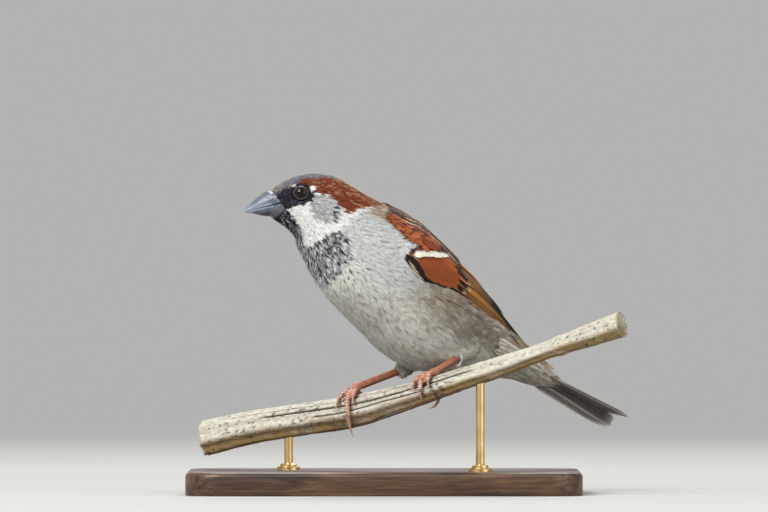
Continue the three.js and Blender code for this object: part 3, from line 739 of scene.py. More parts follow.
def limb_tube(points, thick, flat):
    """A round limb with its pads and knuckles, to be melted into the skin."""
    def place(share, turn):
        along = unit(through(points, share + 0.03) - through(points, share - 0.03))
        side = unit(np.cross(along, [0, 0, 1]))
        deep = np.cross(side, along)
        out = deep * np.cos(turn)[:, None] + side * flat * np.sin(turn)[:, None]
        return through(points, share) + out * thick(share)[:, None]

    return tube(26, 12, place)[0]


def solid_of(node):
    """A CAD node's mesh, with its loose triangles joined."""
    bm = bmesh.new()
    bm.from_mesh(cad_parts[node].data)
    bmesh.ops.remove_doubles(bm, verts=bm.verts, dist=TOUCHING)
    return bm


def melted(bm, voxel):
    """A closed mesh melted from another by a voxel remesh."""
    mesh = bpy.data.meshes.new("melted")
    bm.to_mesh(mesh)
    bm.free()
    carrier = bpy.data.objects.new("melted", mesh)
    bpy.context.scene.collection.objects.link(carrier)
    remesh = carrier.modifiers.new("Remesh", "REMESH")
    remesh.mode = "VOXEL"
    remesh.voxel_size = voxel
    graph = bpy.context.evaluated_depsgraph_get()
    done = bmesh.new()
    done.from_mesh(carrier.evaluated_get(graph).to_mesh())
    bpy.data.objects.remove(carrier)
    bpy.data.meshes.remove(mesh)
    return done


def relax(bm, verts, rounds=1):
    """Evens out a surface by drawing its points towards their neighbours."""
    for _ in range(rounds):
        bmesh.ops.smooth_vert(bm, verts=verts, factor=0.5, use_axis_x=True, use_axis_y=True, use_axis_z=True)


def merged_flesh():
    """One closed mesh of all the solids of flesh, melted together."""
    joined = bmesh.new()
    parts = []
    for name in FLESH:
        part = solid_of(name)
        bmesh.ops.recalc_face_normals(part, faces=part.faces)
        part.normal_update()
        for vert in part.verts:
            vert.co = vert.co + vert.normal * CLOSE_GAPS
        parts.append(part)
    for name, points, thick, flat in LIMBS:
        if name.startswith("toe"):
            part = limb_tube(points, thick, flat)
            bmesh.ops.recalc_face_normals(part, faces=part.faces)
            parts.append(part)
    for part in parts:
        loose = bpy.data.meshes.new("loose")
        part.to_mesh(loose)
        part.free()
        joined.from_mesh(loose)
        bpy.data.meshes.remove(loose)
    done = melted(joined, SKIN_VOXEL)
    keep_largest(done)
    return done


def keep_largest(bm):
    """Deletes every loose part but the largest, such as the wall of a small sealed hollow."""
    bm.verts.index_update()
    group = np.full(len(bm.verts), -1)
    bm.verts.ensure_lookup_table()
    sizes = []
    for seed in bm.verts:
        if group[seed.index] >= 0:
            continue
        label, stack, size = len(sizes), [seed], 0
        group[seed.index] = label
        while stack:
            vert = stack.pop()
            size += 1
            for edge in vert.link_edges:
                other = edge.other_vert(vert)
                if group[other.index] < 0:
                    group[other.index] = label
                    stack.append(other)
        sizes.append(size)
    main = int(np.argmax(sizes))
    lost = [v for v in bm.verts if group[v.index] != main]
    bmesh.ops.delete(bm, geom=lost, context="VERTS")


flesh = merged_flesh()
relax(flesh, flesh.verts)
hull = BVHTree.FromBMesh(flesh)


def bareness(places):
    """1 on the bare tarsi and toes, 0 under feathers, with a short change between."""
    near = np.full(len(places), 9.0)
    for name, points, thick, _ in LIMBS:
        line = through(points, np.linspace(0, 1, 30))
        gap = np.linalg.norm(places[:, None] - line[None], axis=2)
        closest = gap.argmin(1)
        reach = gap[np.arange(len(places)), closest] / MM
        if name == "tarsus_left":
            cuff = LEGS["left"]["cuff"] * MM / np.linalg.norm(points[-1] - points[0])
            reach = reach + 6 * smooth_step(cuff, cuff - 0.1, closest / 29)
        near = np.minimum(near, reach)
    for leg in LEGS.values():
        gap = np.linalg.norm(places - np.array(leg["foot"]) * MM, axis=1) / MM
        near = np.minimum(near, gap - 0.6)
    return smooth_step(2.2, 1.6, near)


def plumage_finish(name, bump, glow=0.5):
    """Feathers and feathered skin: the painted colour, with the fine combing of the barbs over it."""
    material, tree, shader = new_finish(name, Subsurface_Weight=glow, Specular_IOR_Level=0.2,
                                        Subsurface_Radius=(1.0, 0.9, 0.8), Subsurface_Scale=1.4 * MM)
    group = add_node(tree, "ShaderNodeGroup", node_tree=barb_group())
    tree.links.new(painted_colour(tree), group.inputs["Colour"])
    tree.links.new(group.outputs["Colour"], shader.inputs["Base Color"])
    tree.links.new(group.outputs["Roughness"], shader.inputs["Roughness"])
    tree.links.new(add_bump(tree, group.outputs["Height"], bump, 0.06 * MM), shader.inputs["Normal"])
    return material


def barb_group():
    """Shared effect: barbs run out from the shaft at a slant. It reads the feather's own length and
    width, in millimetres, from the map named vane."""
    if "feather_barbs" in bpy.data.node_groups:
        return bpy.data.node_groups["feather_barbs"]
    tree = bpy.data.node_groups.new("feather_barbs", "ShaderNodeTree")
    face = tree.interface
    face.new_socket(name="Colour", in_out="INPUT", socket_type="NodeSocketColor")
    face.new_socket(name="Colour", in_out="OUTPUT", socket_type="NodeSocketColor")
    face.new_socket(name="Roughness", in_out="OUTPUT", socket_type="NodeSocketFloat")
    face.new_socket(name="Height", in_out="OUTPUT", socket_type="NodeSocketFloat")
    given = tree.nodes.new("NodeGroupInput")
    vane = add_node(tree, "ShaderNodeUVMap", uv_map="vane").outputs["UV"]
    parts = add_node(tree, "ShaderNodeSeparateXYZ", {"Vector": vane})
    outwards = add_node(tree, "ShaderNodeMath", {0: parts.outputs["X"]}, operation="ABSOLUTE").outputs[0]
    slant = add_node(tree, "ShaderNodeMath", {0: outwards, 1: -1.6, 2: parts.outputs["Y"]},
                     operation="MULTIPLY_ADD").outputs[0]
    phase = add_node(tree, "ShaderNodeMath", {0: slant, 1: 19.0}, operation="MULTIPLY").outputs[0]
    wave = add_node(tree, "ShaderNodeMath", {0: phase}, operation="SINE").outputs[0]
    cloud = add_noise(tree, own_places(tree), 700, 4)
    height = add_node(tree, "ShaderNodeMath", {0: wave, 1: 0.35, 2: cloud},
                      operation="MULTIPLY_ADD").outputs[0]
    # The colour is painted lighter on the ridges of the barbs and darker in their grooves: painted light and
    # shade of their relief, with a random cloud.
    light = add_node(tree, "ShaderNodeMapRange",
                     {"Value": height, "From Min": 0.0, "From Max": 1.0, "To Min": 0.8, "To Max": 1.16})
    shaded = add_node(tree, "ShaderNodeVectorMath", {0: given.outputs["Colour"], 1: light.outputs["Result"]},
                      operation="MULTIPLY").outputs[0]
    rough = add_node(tree, "ShaderNodeMapRange", {"Value": cloud, "To Min": 0.62, "To Max": 0.88}).outputs[0]
    out = tree.nodes.new("NodeGroupOutput")
    tree.links.new(shaded, out.inputs["Colour"])
    tree.links.new(rough, out.inputs["Roughness"])
    tree.links.new(height, out.inputs["Height"])
    return tree


def store_map(mesh, name, values):
    """A UV map given per corner point, copied to each face corner."""
    layer = mesh.uv_layers.new(name=name)
    corner = np.empty(len(mesh.loops), np.int32)
    mesh.loops.foreach_get("vertex_index", corner)
    layer.data.foreach_set("uv", np.asarray(values, np.float32)[corner].ravel())


def skin_piece():
    raw = points_of(flesh)
    normals = normals_of(flesh)
    station, turn, apart = body_place(raw)
    bare = bareness(raw)
    depth = at_stations(COAT_DEPTH, station) * MM
    outside = apart - body_radius(station, np.radians(turn))
    depth = depth + (THIGH_DEPTH - depth) * smooth_step(0.8 * MM, 2.2 * MM, outside)
    depth = depth * (1 - bare) + LEG_SINK * bare
    move_points(flesh, raw - normals * depth[:, None])
    covered = [v for v, b in zip(flesh.verts, bare) if b < 0.5]
    relax(flesh, covered, 4)
    mesh = mesh_of("skin", flesh)
    add_piece("skin", mesh, plumage_finish("feathered_skin", 0.2), FLESH)
    base, _, _ = markings(station, turn, raw, 0.3)
    scaly = soft_noise(raw, 0.9 * MM, 50)
    legs = mix(LEG_PINK, LEG_DARK, 0.35 + 0.3 * scaly)
    paint(mesh, mix(base * 0.85, legs, bare))
    store_map(mesh, "vane", np.stack([raw[:, 1] / MM, raw[:, 0] / MM], 1))


skin_piece()


# ---- Leg scales and claws ----
# Horny scutes overlap down the front of each tarsus and along the top of each toe, like tiles.
# Each toe ends in a curved, pointed claw of brown horn that grips the stem.
SCUTE_COUNT = {"tarsus": 9, "toe": 11}
SCUTE_RISE = 0.07 * MM
CLAW_ROOT, CLAW_TIP, CLAW_GAP = 0.74 * MM, 0.06 * MM, 0.03
UNWRAP_PATCH = 0.003  # how wide each feather's or scale's patch is on the map OFBake
CLAW_BASE = linear(122, 84, 68)
CLAW_PALE = linear(186, 150, 118)


class Sheet:
    """A surface that feathers or scales lie on: a grid of places along and across it."""

    def __init__(self, along, across, places, outward, wraps=False):
        self.along, self.across, self.places, self.wraps = along, across, places, wraps
        down = np.gradient(places, along, axis=0)
        wide = places
        if wraps:
            wide = np.concatenate([places[:, -2:-1], places, places[:, 1:2]], axis=1)
        step = across[1] - across[0]
        over = np.gradient(wide, step, axis=1)
        if wraps:
            over = over[:, 1:-1]
        normals = unit(np.cross(down, over))
        self.normals = normals * np.where(np.sum(normals * outward, -1) < 0, -1, 1)[..., None]
        self.stretch = np.stack([np.linalg.norm(down, axis=2), np.linalg.norm(over, axis=2)], -1)

    def sample(self, grid, a, b, hold=False):
        """Values of a grid at places along and across. Past the edges they carry on straight, or
        with hold they stay as at the edge."""
        x = (a - self.along[0]) / (self.along[1] - self.along[0])
        y = (b - self.across[0]) / (self.across[1] - self.across[0])
        if self.wraps:
            y = y % (len(self.across) - 1)
        if hold:
            x, y = np.clip(x, 0, len(self.along) - 1), np.clip(y, 0, len(self.across) - 1)
        i = np.clip(np.floor(x).astype(int), 0, len(self.along) - 2)
        j = np.clip(np.floor(y).astype(int), 0, len(self.across) - 2)
        f, g = (x - i)[..., None], (y - j)[..., None]
        near = grid[i, j] * (1 - g) + grid[i, j + 1] * g
        far = grid[i + 1, j] * (1 - g) + grid[i + 1, j + 1] * g
        return near * (1 - f) + far * f

    def place(self, a, b, rise):
        points = self.sample(self.places, a, b)
        return points + unit(self.sample(self.normals, a, b, hold=True)) * rise[..., None]

    def lay(self, start, end, shape, half_width, rise):
        """Corner points of feathers from start to end, two (along, across) columns. half_width and
        rise give each corner's distance to the side of the shaft and off the sheet."""
        t = shape.t[None]
        run = end - start
        a = start[:, :1] + run[:, :1] * t
        b = start[:, 1:] + run[:, 1:] * t
        stretch = np.maximum(self.sample(self.stretch, a, b, hold=True), 1e-5)
        step_a = run[:, :1] * stretch[..., 0]
        step_b = run[:, 1:] * stretch[..., 1]
        length = np.maximum(np.hypot(step_a, step_b), 1e-9)
        a = a - half_width * step_b / length / stretch[..., 0]
        b = b + half_width * step_a / length / stretch[..., 1]
        return self.place(a, b, rise)

    def march(self, start, length, angle, steps=4):
        """Where a line of a given length ends that leaves start at an angle to the sheet's length."""
        at = start.copy()
        for _ in range(steps):
            stretch = self.sample(self.stretch, at[:, 0], at[:, 1], hold=True)
            stretch = np.maximum(stretch, np.array([1.2e-3, 2.4e-5]))
            at = at + (length / steps)[:, None] * np.stack([np.cos(angle), np.sin(angle)], 1) / stretch
        return at


class Shape:
    """The corners of one feather: x across from -1 to 1, t from root to tip, z above or below."""

    def __init__(self, x, t, z, faces):
        self.x, self.t, self.z = (np.array(v, float) for v in (x, t, z))
        self.faces = np.array(faces)
        self.rim = self.z == 0


def vane_shape(rows, columns, pointed=0.5):
    """A smooth flight feather or covert: a closed blade narrow at the quill and rounded at its tip."""
    x, t, z = [], [], []
    top, below = {}, {}
    for layer in (1, -1):
        for i in range(rows):
            for j in range(columns):
                on_rim = i in (0, rows - 1) or j in (0, columns - 1)
                if layer == -1 and on_rim:
                    below[i, j] = top[i, j]
                    continue
                share = i / (rows - 1)
                (top if layer == 1 else below)[i, j] = len(x)
                side = 2 * j / (columns - 1) - 1
                past = max(0.0, share - pointed) ** 2 / (1.0001 - pointed) ** 2
                wide = min(1.0, 0.16 + 2.2 * share) * max(0.0, 1 - past) ** 0.5
                x.append(side * max(wide, 0.05))
                t.append(share)
                z.append(0 if on_rim else layer)
    faces = []
    for i in range(rows - 1):
        for j in range(columns - 1):
            ring = [(i, j), (i, j + 1), (i + 1, j + 1), (i + 1, j)]
            if (i < rows / 2) == (j >= columns / 2 - 1):
                ring = ring[1:] + ring[:1]
            a, b, c, d = (top[k] for k in ring)
            faces += [(a, b, c), (a, c, d)]
            a, b, c, d = (below[k] for k in ring)
            faces += [(a, c, b), (a, d, c)]
    return Shape(x, t, z, faces)


def feather_mesh(name, groups):
    """One mesh of many feathers. A group holds its shape, its corner points, colours, the vane map in
    millimetres, and each feather's place on the skin's unwrap."""
    points, faces, colours, vanes, unwraps, rims = [], [], [], [], [], []
    first = 0
    for shape, corners, shades, vane, roots in groups:
        count, size = corners.shape[:2]
        offset = first + np.arange(count) * size
        points.append(corners.reshape(-1, 3))
        colours.append(shades.reshape(-1, 3))
        vanes.append(vane.reshape(-1, 2))
        patch = np.stack([shape.x, shape.t], 1) * UNWRAP_PATCH / 2
        unwraps.append((roots[:, None] + patch[None]).reshape(-1, 2))
        faces.append((shape.faces[None] + offset[:, None, None]).reshape(-1, 3))
        rims.append(np.tile(shape.rim, count))
        first += count * size
    points, faces, rims = np.concatenate(points), np.concatenate(faces), np.concatenate(rims)
    mesh = bpy.data.meshes.new(name)
    mesh.vertices.add(len(points))
    mesh.vertices.foreach_set("co", points.astype(np.float32).ravel())
    mesh.loops.add(faces.size)
    mesh.loops.foreach_set("vertex_index", faces.astype(np.int32).ravel())
    mesh.polygons.add(len(faces))
    mesh.polygons.foreach_set("loop_start", np.arange(0, faces.size, 3, dtype=np.int32))
    mesh.update(calc_edges=True)
    ends = np.empty(2 * len(mesh.edges), np.int32)
    mesh.edges.foreach_get("vertices", ends)
    sharp = mesh.attributes.new("sharp_edge", "BOOLEAN", "EDGE")
    sharp.data.foreach_set("value", rims[ends.reshape(-1, 2)].all(1))
    paint(mesh, np.clip(np.concatenate(colours), 0, 1))
    store_map(mesh, "vane", np.concatenate(vanes))
    store_map(mesh, "OFBake", np.concatenate(unwraps))
    return mesh


small_scute = vane_shape(5, 5, 0.3)


def limb_sheet(points, thick, flat):
    """The surface of a round limb: along its length, and round it in degrees from its upper side."""
    shares, turns = np.linspace(0, 1, 41), np.linspace(-180, 180, 33)
    middle = through(points, shares)
    along = unit(through(points, shares + 0.02) - through(points, shares - 0.02))
    side = unit(np.cross(along, [0, 0, 1]))
    deep = np.cross(side, along)
    a = np.radians(turns)[None, :, None]
    r = thick(shares)[:, None, None]
    out = deep[:, None] * np.cos(a) + side[:, None] * flat * np.sin(a)
    return Sheet(shares, turns, middle[:, None] + out * r, out, wraps=True)


def leg_scutes():
    groups = []
    for name, points, thick, flat in LIMBS:
        sheet = limb_sheet(points, thick, flat)
        kind = name.split("_")[0]
        count = SCUTE_COUNT[kind]
        long = np.linalg.norm(np.diff(points, axis=0), axis=1).sum()
        cuff = LEGS["left"]["cuff"] * MM / long if name == "tarsus_left" else 0
        first = np.linspace(0.04 + cuff, 0.97 - 1 / count, count)
        facing = (0,) if kind == "toe" else (55, 180, -55)
        for turn in facing:
            start = np.stack([first, np.full(count, turn)], 1)
            end = start + [1.35 / count, 0]
            wide = thick(first)[:, None] * (1.15 if kind == "toe" else 0.95)
            across = small_scute.x[None] * wide
            rise = SCUTE_RISE * (0.3 + 1.1 * small_scute.t[None] + 0.35 * small_scute.z[None]) + 0 * across
            corners = sheet.lay(start, end, small_scute, across, rise)
            # Each scale is painted darker at its root, where the scale before overlaps it: painted shade, with
            # a random tone. Toe scales are painted paler towards their ends: painted highlight.
            tone = chance.uniform(0.0, 0.5, (count, 1)) + 0.5 * (small_scute.t[None] < 0.3)
            pale = mix(LEG_PINK, LEG_PAINTED_HIGHLIGHT, 0.6 * (small_scute.t > 0.6)) if kind == "toe" else TARSUS_BROWN
            shades = mix(pale + 0 * tone[..., None], LEG_DARK, np.clip(tone, 0, 1))
            vane = np.stack([across / MM, small_scute.t[None] * long / count / MM + 0 * across], -1)
            roots = np.stack([0.1 + 0.8 * first, np.full(count, 0.5 + turn / 400)], 1)
            groups.append((small_scute, corners, shades, vane, roots))
    mesh = feather_mesh("leg_scutes", groups)
    add_piece("leg_scutes", mesh, horn_finish("leg_scale", 0.42, 1500, 0.35))


def horn_finish(name, roughness, scale, bump):
    """Horn: painted colour with a soft cloud of darker growth, satin and slightly uneven."""
    material, tree, shader = new_finish(name, IOR=1.5)
    painted = painted_colour(tree)
    cloud = add_noise(tree, own_places(tree), scale, 4)
    tint = add_ramp(tree, cloud, [(0.3, (0.72, 0.72, 0.74, 1)), (0.7, (1.1, 1.1, 1.1, 1))])
    rough = (roughness + 0.12, roughness - 0.08)
    link_surface(tree, shader, tinted(tree, painted, tint, 0.8), cloud, rough, bump, 0.05 * MM)
    return material


def claws():
    finish = horn_finish("claw_horn", 0.3, 2600, 0.15)
    for side, leg in LEGS.items():
        foot = np.array(leg["foot"]) * MM
        for number, toe in enumerate(leg["toes"], 1):
            claw_from = toe[2] / (toe[2] + toe[3]) - CLAW_GAP
            points = through(toe_line(foot, toe), np.linspace(claw_from, 1, 6))

            def place(share, turn):
                middle = through(points, share)
                along = unit(through(points, share + 0.03) - through(points, share - 0.03))
                across = unit(np.cross(along, [0, 0, 1]))
                deep = np.cross(across, along)
                r = CLAW_TIP + (CLAW_ROOT - CLAW_TIP) * (1 - share) ** 0.75
                return (middle + deep * (r * 1.15 * np.cos(turn))[:, None]
                        + across * (r * 0.8 * np.sin(turn))[:, None])

            bm, share, _ = tube(22, 14, place)
            name = f"claw_{side}_{number}"
            mesh = mesh_of(f"{name}_horn", bm)
            add_piece(f"{name}_horn", mesh, finish, [name])
            paint(mesh, mix(CLAW_BASE, CLAW_PALE, share))


leg_scutes()
claws()


# ---- Bill ----
# A stout conical seed-cracking bill of blue-grey horn in two halves, which meet along a mouth line
# that bends down to the gape. The nostrils open at the base of the upper half, beside the ridge.
BILL_LENGTH, BILL_DROOP = 9.7 * MM, 15
BILL_VOXEL = 0.2 * MM
BILL_BLUE = linear(84, 94, 108)
# The pale horn is also used for painted highlights, and the dark horn for painted shade.
BILL_PALE_AND_HIGHLIGHT = linear(150, 162, 174)
BILL_DARK_AND_SHADE = linear(34, 36, 44)
GAPE_TAN = linear(120, 100, 88)
NOSTRIL = (0.6 * MM, 2.3 * MM, 2.35 * MM)  # along, out and up from the middle of the face
NOSTRIL_RADIUS = 0.6 * MM
BILL_REAR, BILL_SLOPE = 0.38, 0.268  # where the bill's base stands behind the face, and its slope
MOUTH_LOW = 1.6 * MM  # the bill's own middle, under the middle of the face
GAPE_HIGH = [-4.6, -3.9, -3.2, -2.6, -1.8, 0.5, 3.0, 4.0]  # mm up from the middle of the face
GAPE_BACK = [0.0, 0.6, 2.9, 4.3, 3.9, 2.2, 0.6, 0.0]  # mm that the horn reaches back at each height

FACE_AHEAD = heading(0, STATIONS[0][3])
FACE_LEFT, FACE_UP = axes_for(FACE_AHEAD, np.array(6.0), np.array(0.0))
DROOP = math.radians(BILL_DROOP)
BILL_AHEAD = -FACE_AHEAD * math.cos(DROOP) + np.array([0, 0, -math.sin(DROOP)])
BILL_UP = -np.cross(FACE_LEFT, BILL_AHEAD)


def bill_frame(places):
    """How far each place lies ahead, out and up from the middle of the face, along the bill's lines."""
    off = places - FACE
    return off @ BILL_AHEAD, off @ FACE_LEFT, off @ BILL_UP


def on_horn(places):
    """How far each place lies ahead of the bill's rear edge, which reaches back to the gape."""
    along, _, up = bill_frame(places)
    return along + (BILL_REAR + np.interp(up / MM, GAPE_HIGH, GAPE_BACK)) * MM + BILL_SLOPE * up


def bill_half(node, finish):
    bm = melted(solid_of(node), BILL_VOXEL)
    relax(bm, bm.verts, 5)
    places = points_of(bm)
    along, out, up = bill_frame(places)
    normals = normals_of(bm)
    from_rear = along + BILL_REAR * MM + BILL_SLOPE * up
    radial = unit(np.outer(out, FACE_LEFT) + np.outer(up + MOUTH_LOW, BILL_UP) + 1e-9 * BILL_UP)
    wall = smooth_step(0.25, 0.65, np.sum(normals * radial, axis=1))
    drawn = smooth_step(2.4 * MM, -0.1 * MM, from_rear)
    back = np.interp(up / MM, GAPE_HIGH, GAPE_BACK) * MM
    moved = places - BILL_AHEAD * (drawn * back)[:, None]
    lift = -0.45 * MM + 0.63 * MM * smooth_step(0.05 * MM, 0.5 * MM, from_rear)
    for k in np.nonzero((drawn > 0.02) & (wall > 0.02) & (back > 0.1 * MM))[0]:
        near, _, _, _ = hull.ray_cast(Vector(moved[k] + radial[k] * 6 * MM), Vector(-radial[k]), 9 * MM)
        if near is None:
            continue
        share = wall[k] * float(smooth_step(0.15, 0.6, drawn[k])) * min(1, back[k] / MM)
        share *= float(smooth_step(-0.5 * MM, 0, from_rear[k]))
        moved[k] += (np.array(near) + radial[k] * lift[k] - moved[k]) * share
    move_points(bm, moved)
    relax(bm, [v for v, d, w in zip(bm.verts, drawn, back) if d > 0.02 and w > 0.1 * MM], 3)
    places = points_of(bm)
    normals = normals_of(bm)
    hole = np.linalg.norm(np.stack([along, np.abs(out), up], 1) - NOSTRIL, axis=1) / NOSTRIL_RADIUS
    pit = np.exp(-(hole**2)) * 0.5 * MM if node == "bill_upper" else 0 * along
    ridge = 0.12 * MM * np.exp(-((out / (0.5 * MM)) ** 2)) * (up > 0)
    tucked = 0.5 * MM * smooth_step(1.4 * MM, 0, from_rear) * smooth_step(0.8 * MM, 0, back)
    places = places + normals * (ridge - pit - tucked + 0.1 * MM)[:, None]
    move_points(bm, places)
    mesh = mesh_of(f"{node}_horn", bm)
    add_piece(f"{node}_horn", mesh, finish, [node])
    reach = np.clip(along / BILL_LENGTH, -0.3, 1)
    colour = mix(BILL_BLUE, BILL_PALE_AND_HIGHLIGHT, 0.55 * smooth_step(0.5, 1, reach))
    if node == "bill_upper":
        colour = mix(colour, BILL_DARK_AND_SHADE, 0.5 * smooth_step(0.9 * MM, 0.1 * MM, np.abs(out)) * (up > 0))
        # A pale line along the upper half's cutting edge is a painted highlight.
        edge = smooth_step(0.9 * MM, 0, np.abs(up + 0.1 * MM)) * (reach > 0.1)
        colour = mix(colour, BILL_PALE_AND_HIGHLIGHT, 0.55 * edge)
        # The nostril is painted dark: painted shade in its pit.
        colour = mix(colour, BILL_DARK_AND_SHADE, 0.9 * np.exp(-(hole**2) * 0.8))
    else:
        # The lower half is painted darker towards its underside as painted shade, and paler along its upper
        # edge as a painted highlight.
        colour = mix(colour, BILL_DARK_AND_SHADE, 0.75 * smooth_step(-1.4 * MM, -3.2 * MM, up))
        colour = mix(colour, BILL_PALE_AND_HIGHLIGHT, 0.35 * smooth_step(-1.4 * MM, -0.3 * MM, up))
    # The horn is painted darker towards its base, where the feathers overhang it: painted shade.
    colour = mix(colour, BILL_DARK_AND_SHADE, 0.45 * drawn)
    colour = mix(colour, GAPE_TAN, 0.3 * drawn * smooth_step(1.1 * MM, 0.3 * MM, np.abs(up + 2.3 * MM)))
    colour = colour * (1 + 0.1 * soft_noise(places, 0.9 * MM, 61))[:, None]
    paint(mesh, colour)


bill_finish = horn_finish("bill_horn", 0.32, 900, 0.22)
for bill_node in ("bill_upper", "bill_lower"):
    bill_half(bill_node, bill_finish)


# ---- Eyes ----
# Dark glossy eyeballs under a clear cornea, each held by two bare beaded lids that form a thin
# ring. The balls sit in sockets, so that little more than the iris shows.
EYE_RADIUS = 2.7 * MM
EYE_OUT, EYE_HIGH, EYE_FORWARD = 6.25 * MM, 3.25 * MM, -0.6 * MM
EYE_TURN = 7  # degrees that each eye looks ahead of straight sideways
LID_RADIUS = 2.12 * MM
LID_THICK = 0.22 * MM
PUPIL = linear(6, 5, 6)
IRIS = linear(58, 30, 20)
IRIS_RIM = linear(20, 12, 10)
LID_DARK = linear(24, 25, 32)
LID_PALE = linear(92, 97, 106)


def eye_frame(side):
    """The middle of an eyeball, and the way it looks."""
    middle, _, _, left, up = body_at(2.0)
    place = middle + left * side * EYE_OUT + up * EYE_HIGH - FACE_AHEAD * EYE_FORWARD
    turn = math.radians(EYE_TURN)
    look = FACE_LEFT * side * math.cos(turn) - FACE_AHEAD * math.sin(turn) + FACE_UP * 0.06
    return place, unit(look)


def wet_eye():
    material, tree, shader = new_finish("wet_eye", Coat_Weight=0.2, Coat_Roughness=0.03, IOR=1.22)
    painted = painted_colour(tree)
    cloud = add_noise(tree, own_places(tree), 3200, 3)
    tint = add_ramp(tree, cloud, [(0.35, (0.6, 0.6, 0.6, 1)), (0.65, (1.2, 1.2, 1.2, 1))])
    link_surface(tree, shader, tinted(tree, painted, tint, 0.7), cloud, (0.08, 0.16))
    return material


def eye_place(side):
    """The transform that sets a shape, made upright round the middle, in a socket."""
    place, look = eye_frame(side)
    return Matrix.Translation(place) @ Vector(look).to_track_quat("Z", "Y").to_matrix().to_4x4()


def eye_piece(label, side, finish):
    bm = bmesh.new()
    bmesh.ops.create_uvsphere(bm, u_segments=64, v_segments=48, radius=EYE_RADIUS)
    angle = np.array([math.acos(max(-1, min(1, v.co.z / EYE_RADIUS))) for v in bm.verts])
    for vert, a in zip(bm.verts, angle):
        vert.co *= 1 + 0.035 * math.exp(-((a / 0.6) ** 2))
    bmesh.ops.transform(bm, matrix=eye_place(side), verts=bm.verts)
    mesh = mesh_of(f"eye_{label}_ball", bm)
    add_piece(f"eye_{label}_ball", mesh, finish, [f"eye_{label}"])
    colour = mix(PUPIL, IRIS, smooth_step(0.55, 0.66, angle))
    colour = mix(colour, IRIS_RIM, smooth_step(0.74, 0.88, angle))
    paint(mesh, colour)


def eyelids(label, side, finish):
    bm = bmesh.new()
    high = math.sqrt(EYE_RADIUS**2 - LID_RADIUS**2)
    upright = Matrix.Rotation(math.pi / 2, 4, "X")
    stand = Matrix.Translation((LID_RADIUS + 0.12 * MM, 0, high + 0.1 * MM)) @ upright
    ring = bmesh.ops.create_circle(bm, segments=10, radius=LID_THICK, matrix=stand)
    bmesh.ops.spin(bm, geom=ring["verts"] + bm.edges[:], cent=(0, 0, 0), axis=(0, 0, 1), angle=2 * math.pi,
                   steps=112, use_merge=True)
    bmesh.ops.remove_doubles(bm, verts=bm.verts, dist=1e-7)
    raw = points_of(bm)
    round_it = np.arctan2(raw[:, 1], raw[:, 0])
    out = np.hypot(raw[:, 0], raw[:, 1])
    oval = 1 + 0.045 * np.cos(2 * round_it)
    beads = 0.045 * MM * np.cos(28 * round_it) * smooth_step(LID_RADIUS, LID_RADIUS + 0.3 * MM, out)
    move_points(bm, np.stack([raw[:, 0] * oval, raw[:, 1] * oval / 1.02, raw[:, 2] + beads], 1))
    bmesh.ops.transform(bm, matrix=eye_place(side), verts=bm.verts)
    mesh = mesh_of(f"eyelids_{label}", bm)
    add_piece(f"eyelids_{label}", mesh, finish)
    paint(mesh, mix(LID_DARK, LID_PALE, smooth_step(LID_RADIUS + 0.12 * MM, LID_RADIUS + 0.36 * MM, out)))


eye_finish, lid_finish = wet_eye(), horn_finish("bare_lid", 0.5, 2400, 0.2)
for eye_label, eye_side in (("left", 1), ("right", -1)):
    eye_piece(eye_label, eye_side, eye_finish)
    eyelids(eye_label, eye_side, lid_finish)


# ---- Body feathers ----
# Soft contour feathers cover the skin from the bill to the tail like overlapping tiles. Each grows
# from the skin, rises through the coat and ends in parted barbs; they are tiny on the face, long and
# loose on the breast and flanks, and lie from head to tail.
COAT_LENGTH = [0.9, 1.4, 2.1, 3.0, 4.6, 6.2, 7.4, 8.2, 8.0, 8.5, 9.0]  # mm at each station
COAT_WIDTH = [0.17, 0.22, 0.29, 0.36, 0.5, 0.66, 0.76, 0.82, 0.82, 0.85, 0.9]  # half, in mm
COAT_SPACING = [0.24, 0.29, 0.34, 0.38, 0.45, 0.54, 0.58, 0.62, 0.64, 0.66, 0.7]  # in mm
COAT_LIFT = [0.05, 0.08, 0.1, 0.12, 0.14, 0.15, 0.17, 0.18, 0.17, 0.16, 0.15]  # tips over the coat, mm
COAT_SWING = [7, 8, 8, 8, 9, 10, 11, 12, 12, 9, 6]  # degrees that neighbours differ in their lie
CROWN_LIFT = 0.3  # mm more under the tips of the crown
COAT_BANDS = {"head": (0, 2.75), "neck": (2.75, 4.35), "breast": (4.35, 5.9), "belly": (5.9, 7.9),
              "rump": (7.9, 11)}  # from and to station
FEATHER_THICK = 0.03 * MM
SCATTER_TRIES = 60000
FACE_HOLLOW = 1.2  # station up to which the head is hollow, to take the root of the bill
EYE_CLEAR = 2.6 * MM
SHOULDER_PATCH = [(4.55, 46), (4.7, 53), (4.95, 59), (5.2, 65), (5.42, 69), (5.56, 65), (5.72, 58),
                  (5.74, 50), (5.4, 46), (4.9, 43), (4.65, 42)]
WING_PATCH = [(5.35, 62), (5.3, 78), (5.5, 86), (5.98, 89), (6.32, 85), (6.81, 80), (7.27, 78), (7.7, 72),
              (7.9, 40), (7.4, 22), (6.2, 30), (5.6, 45)]


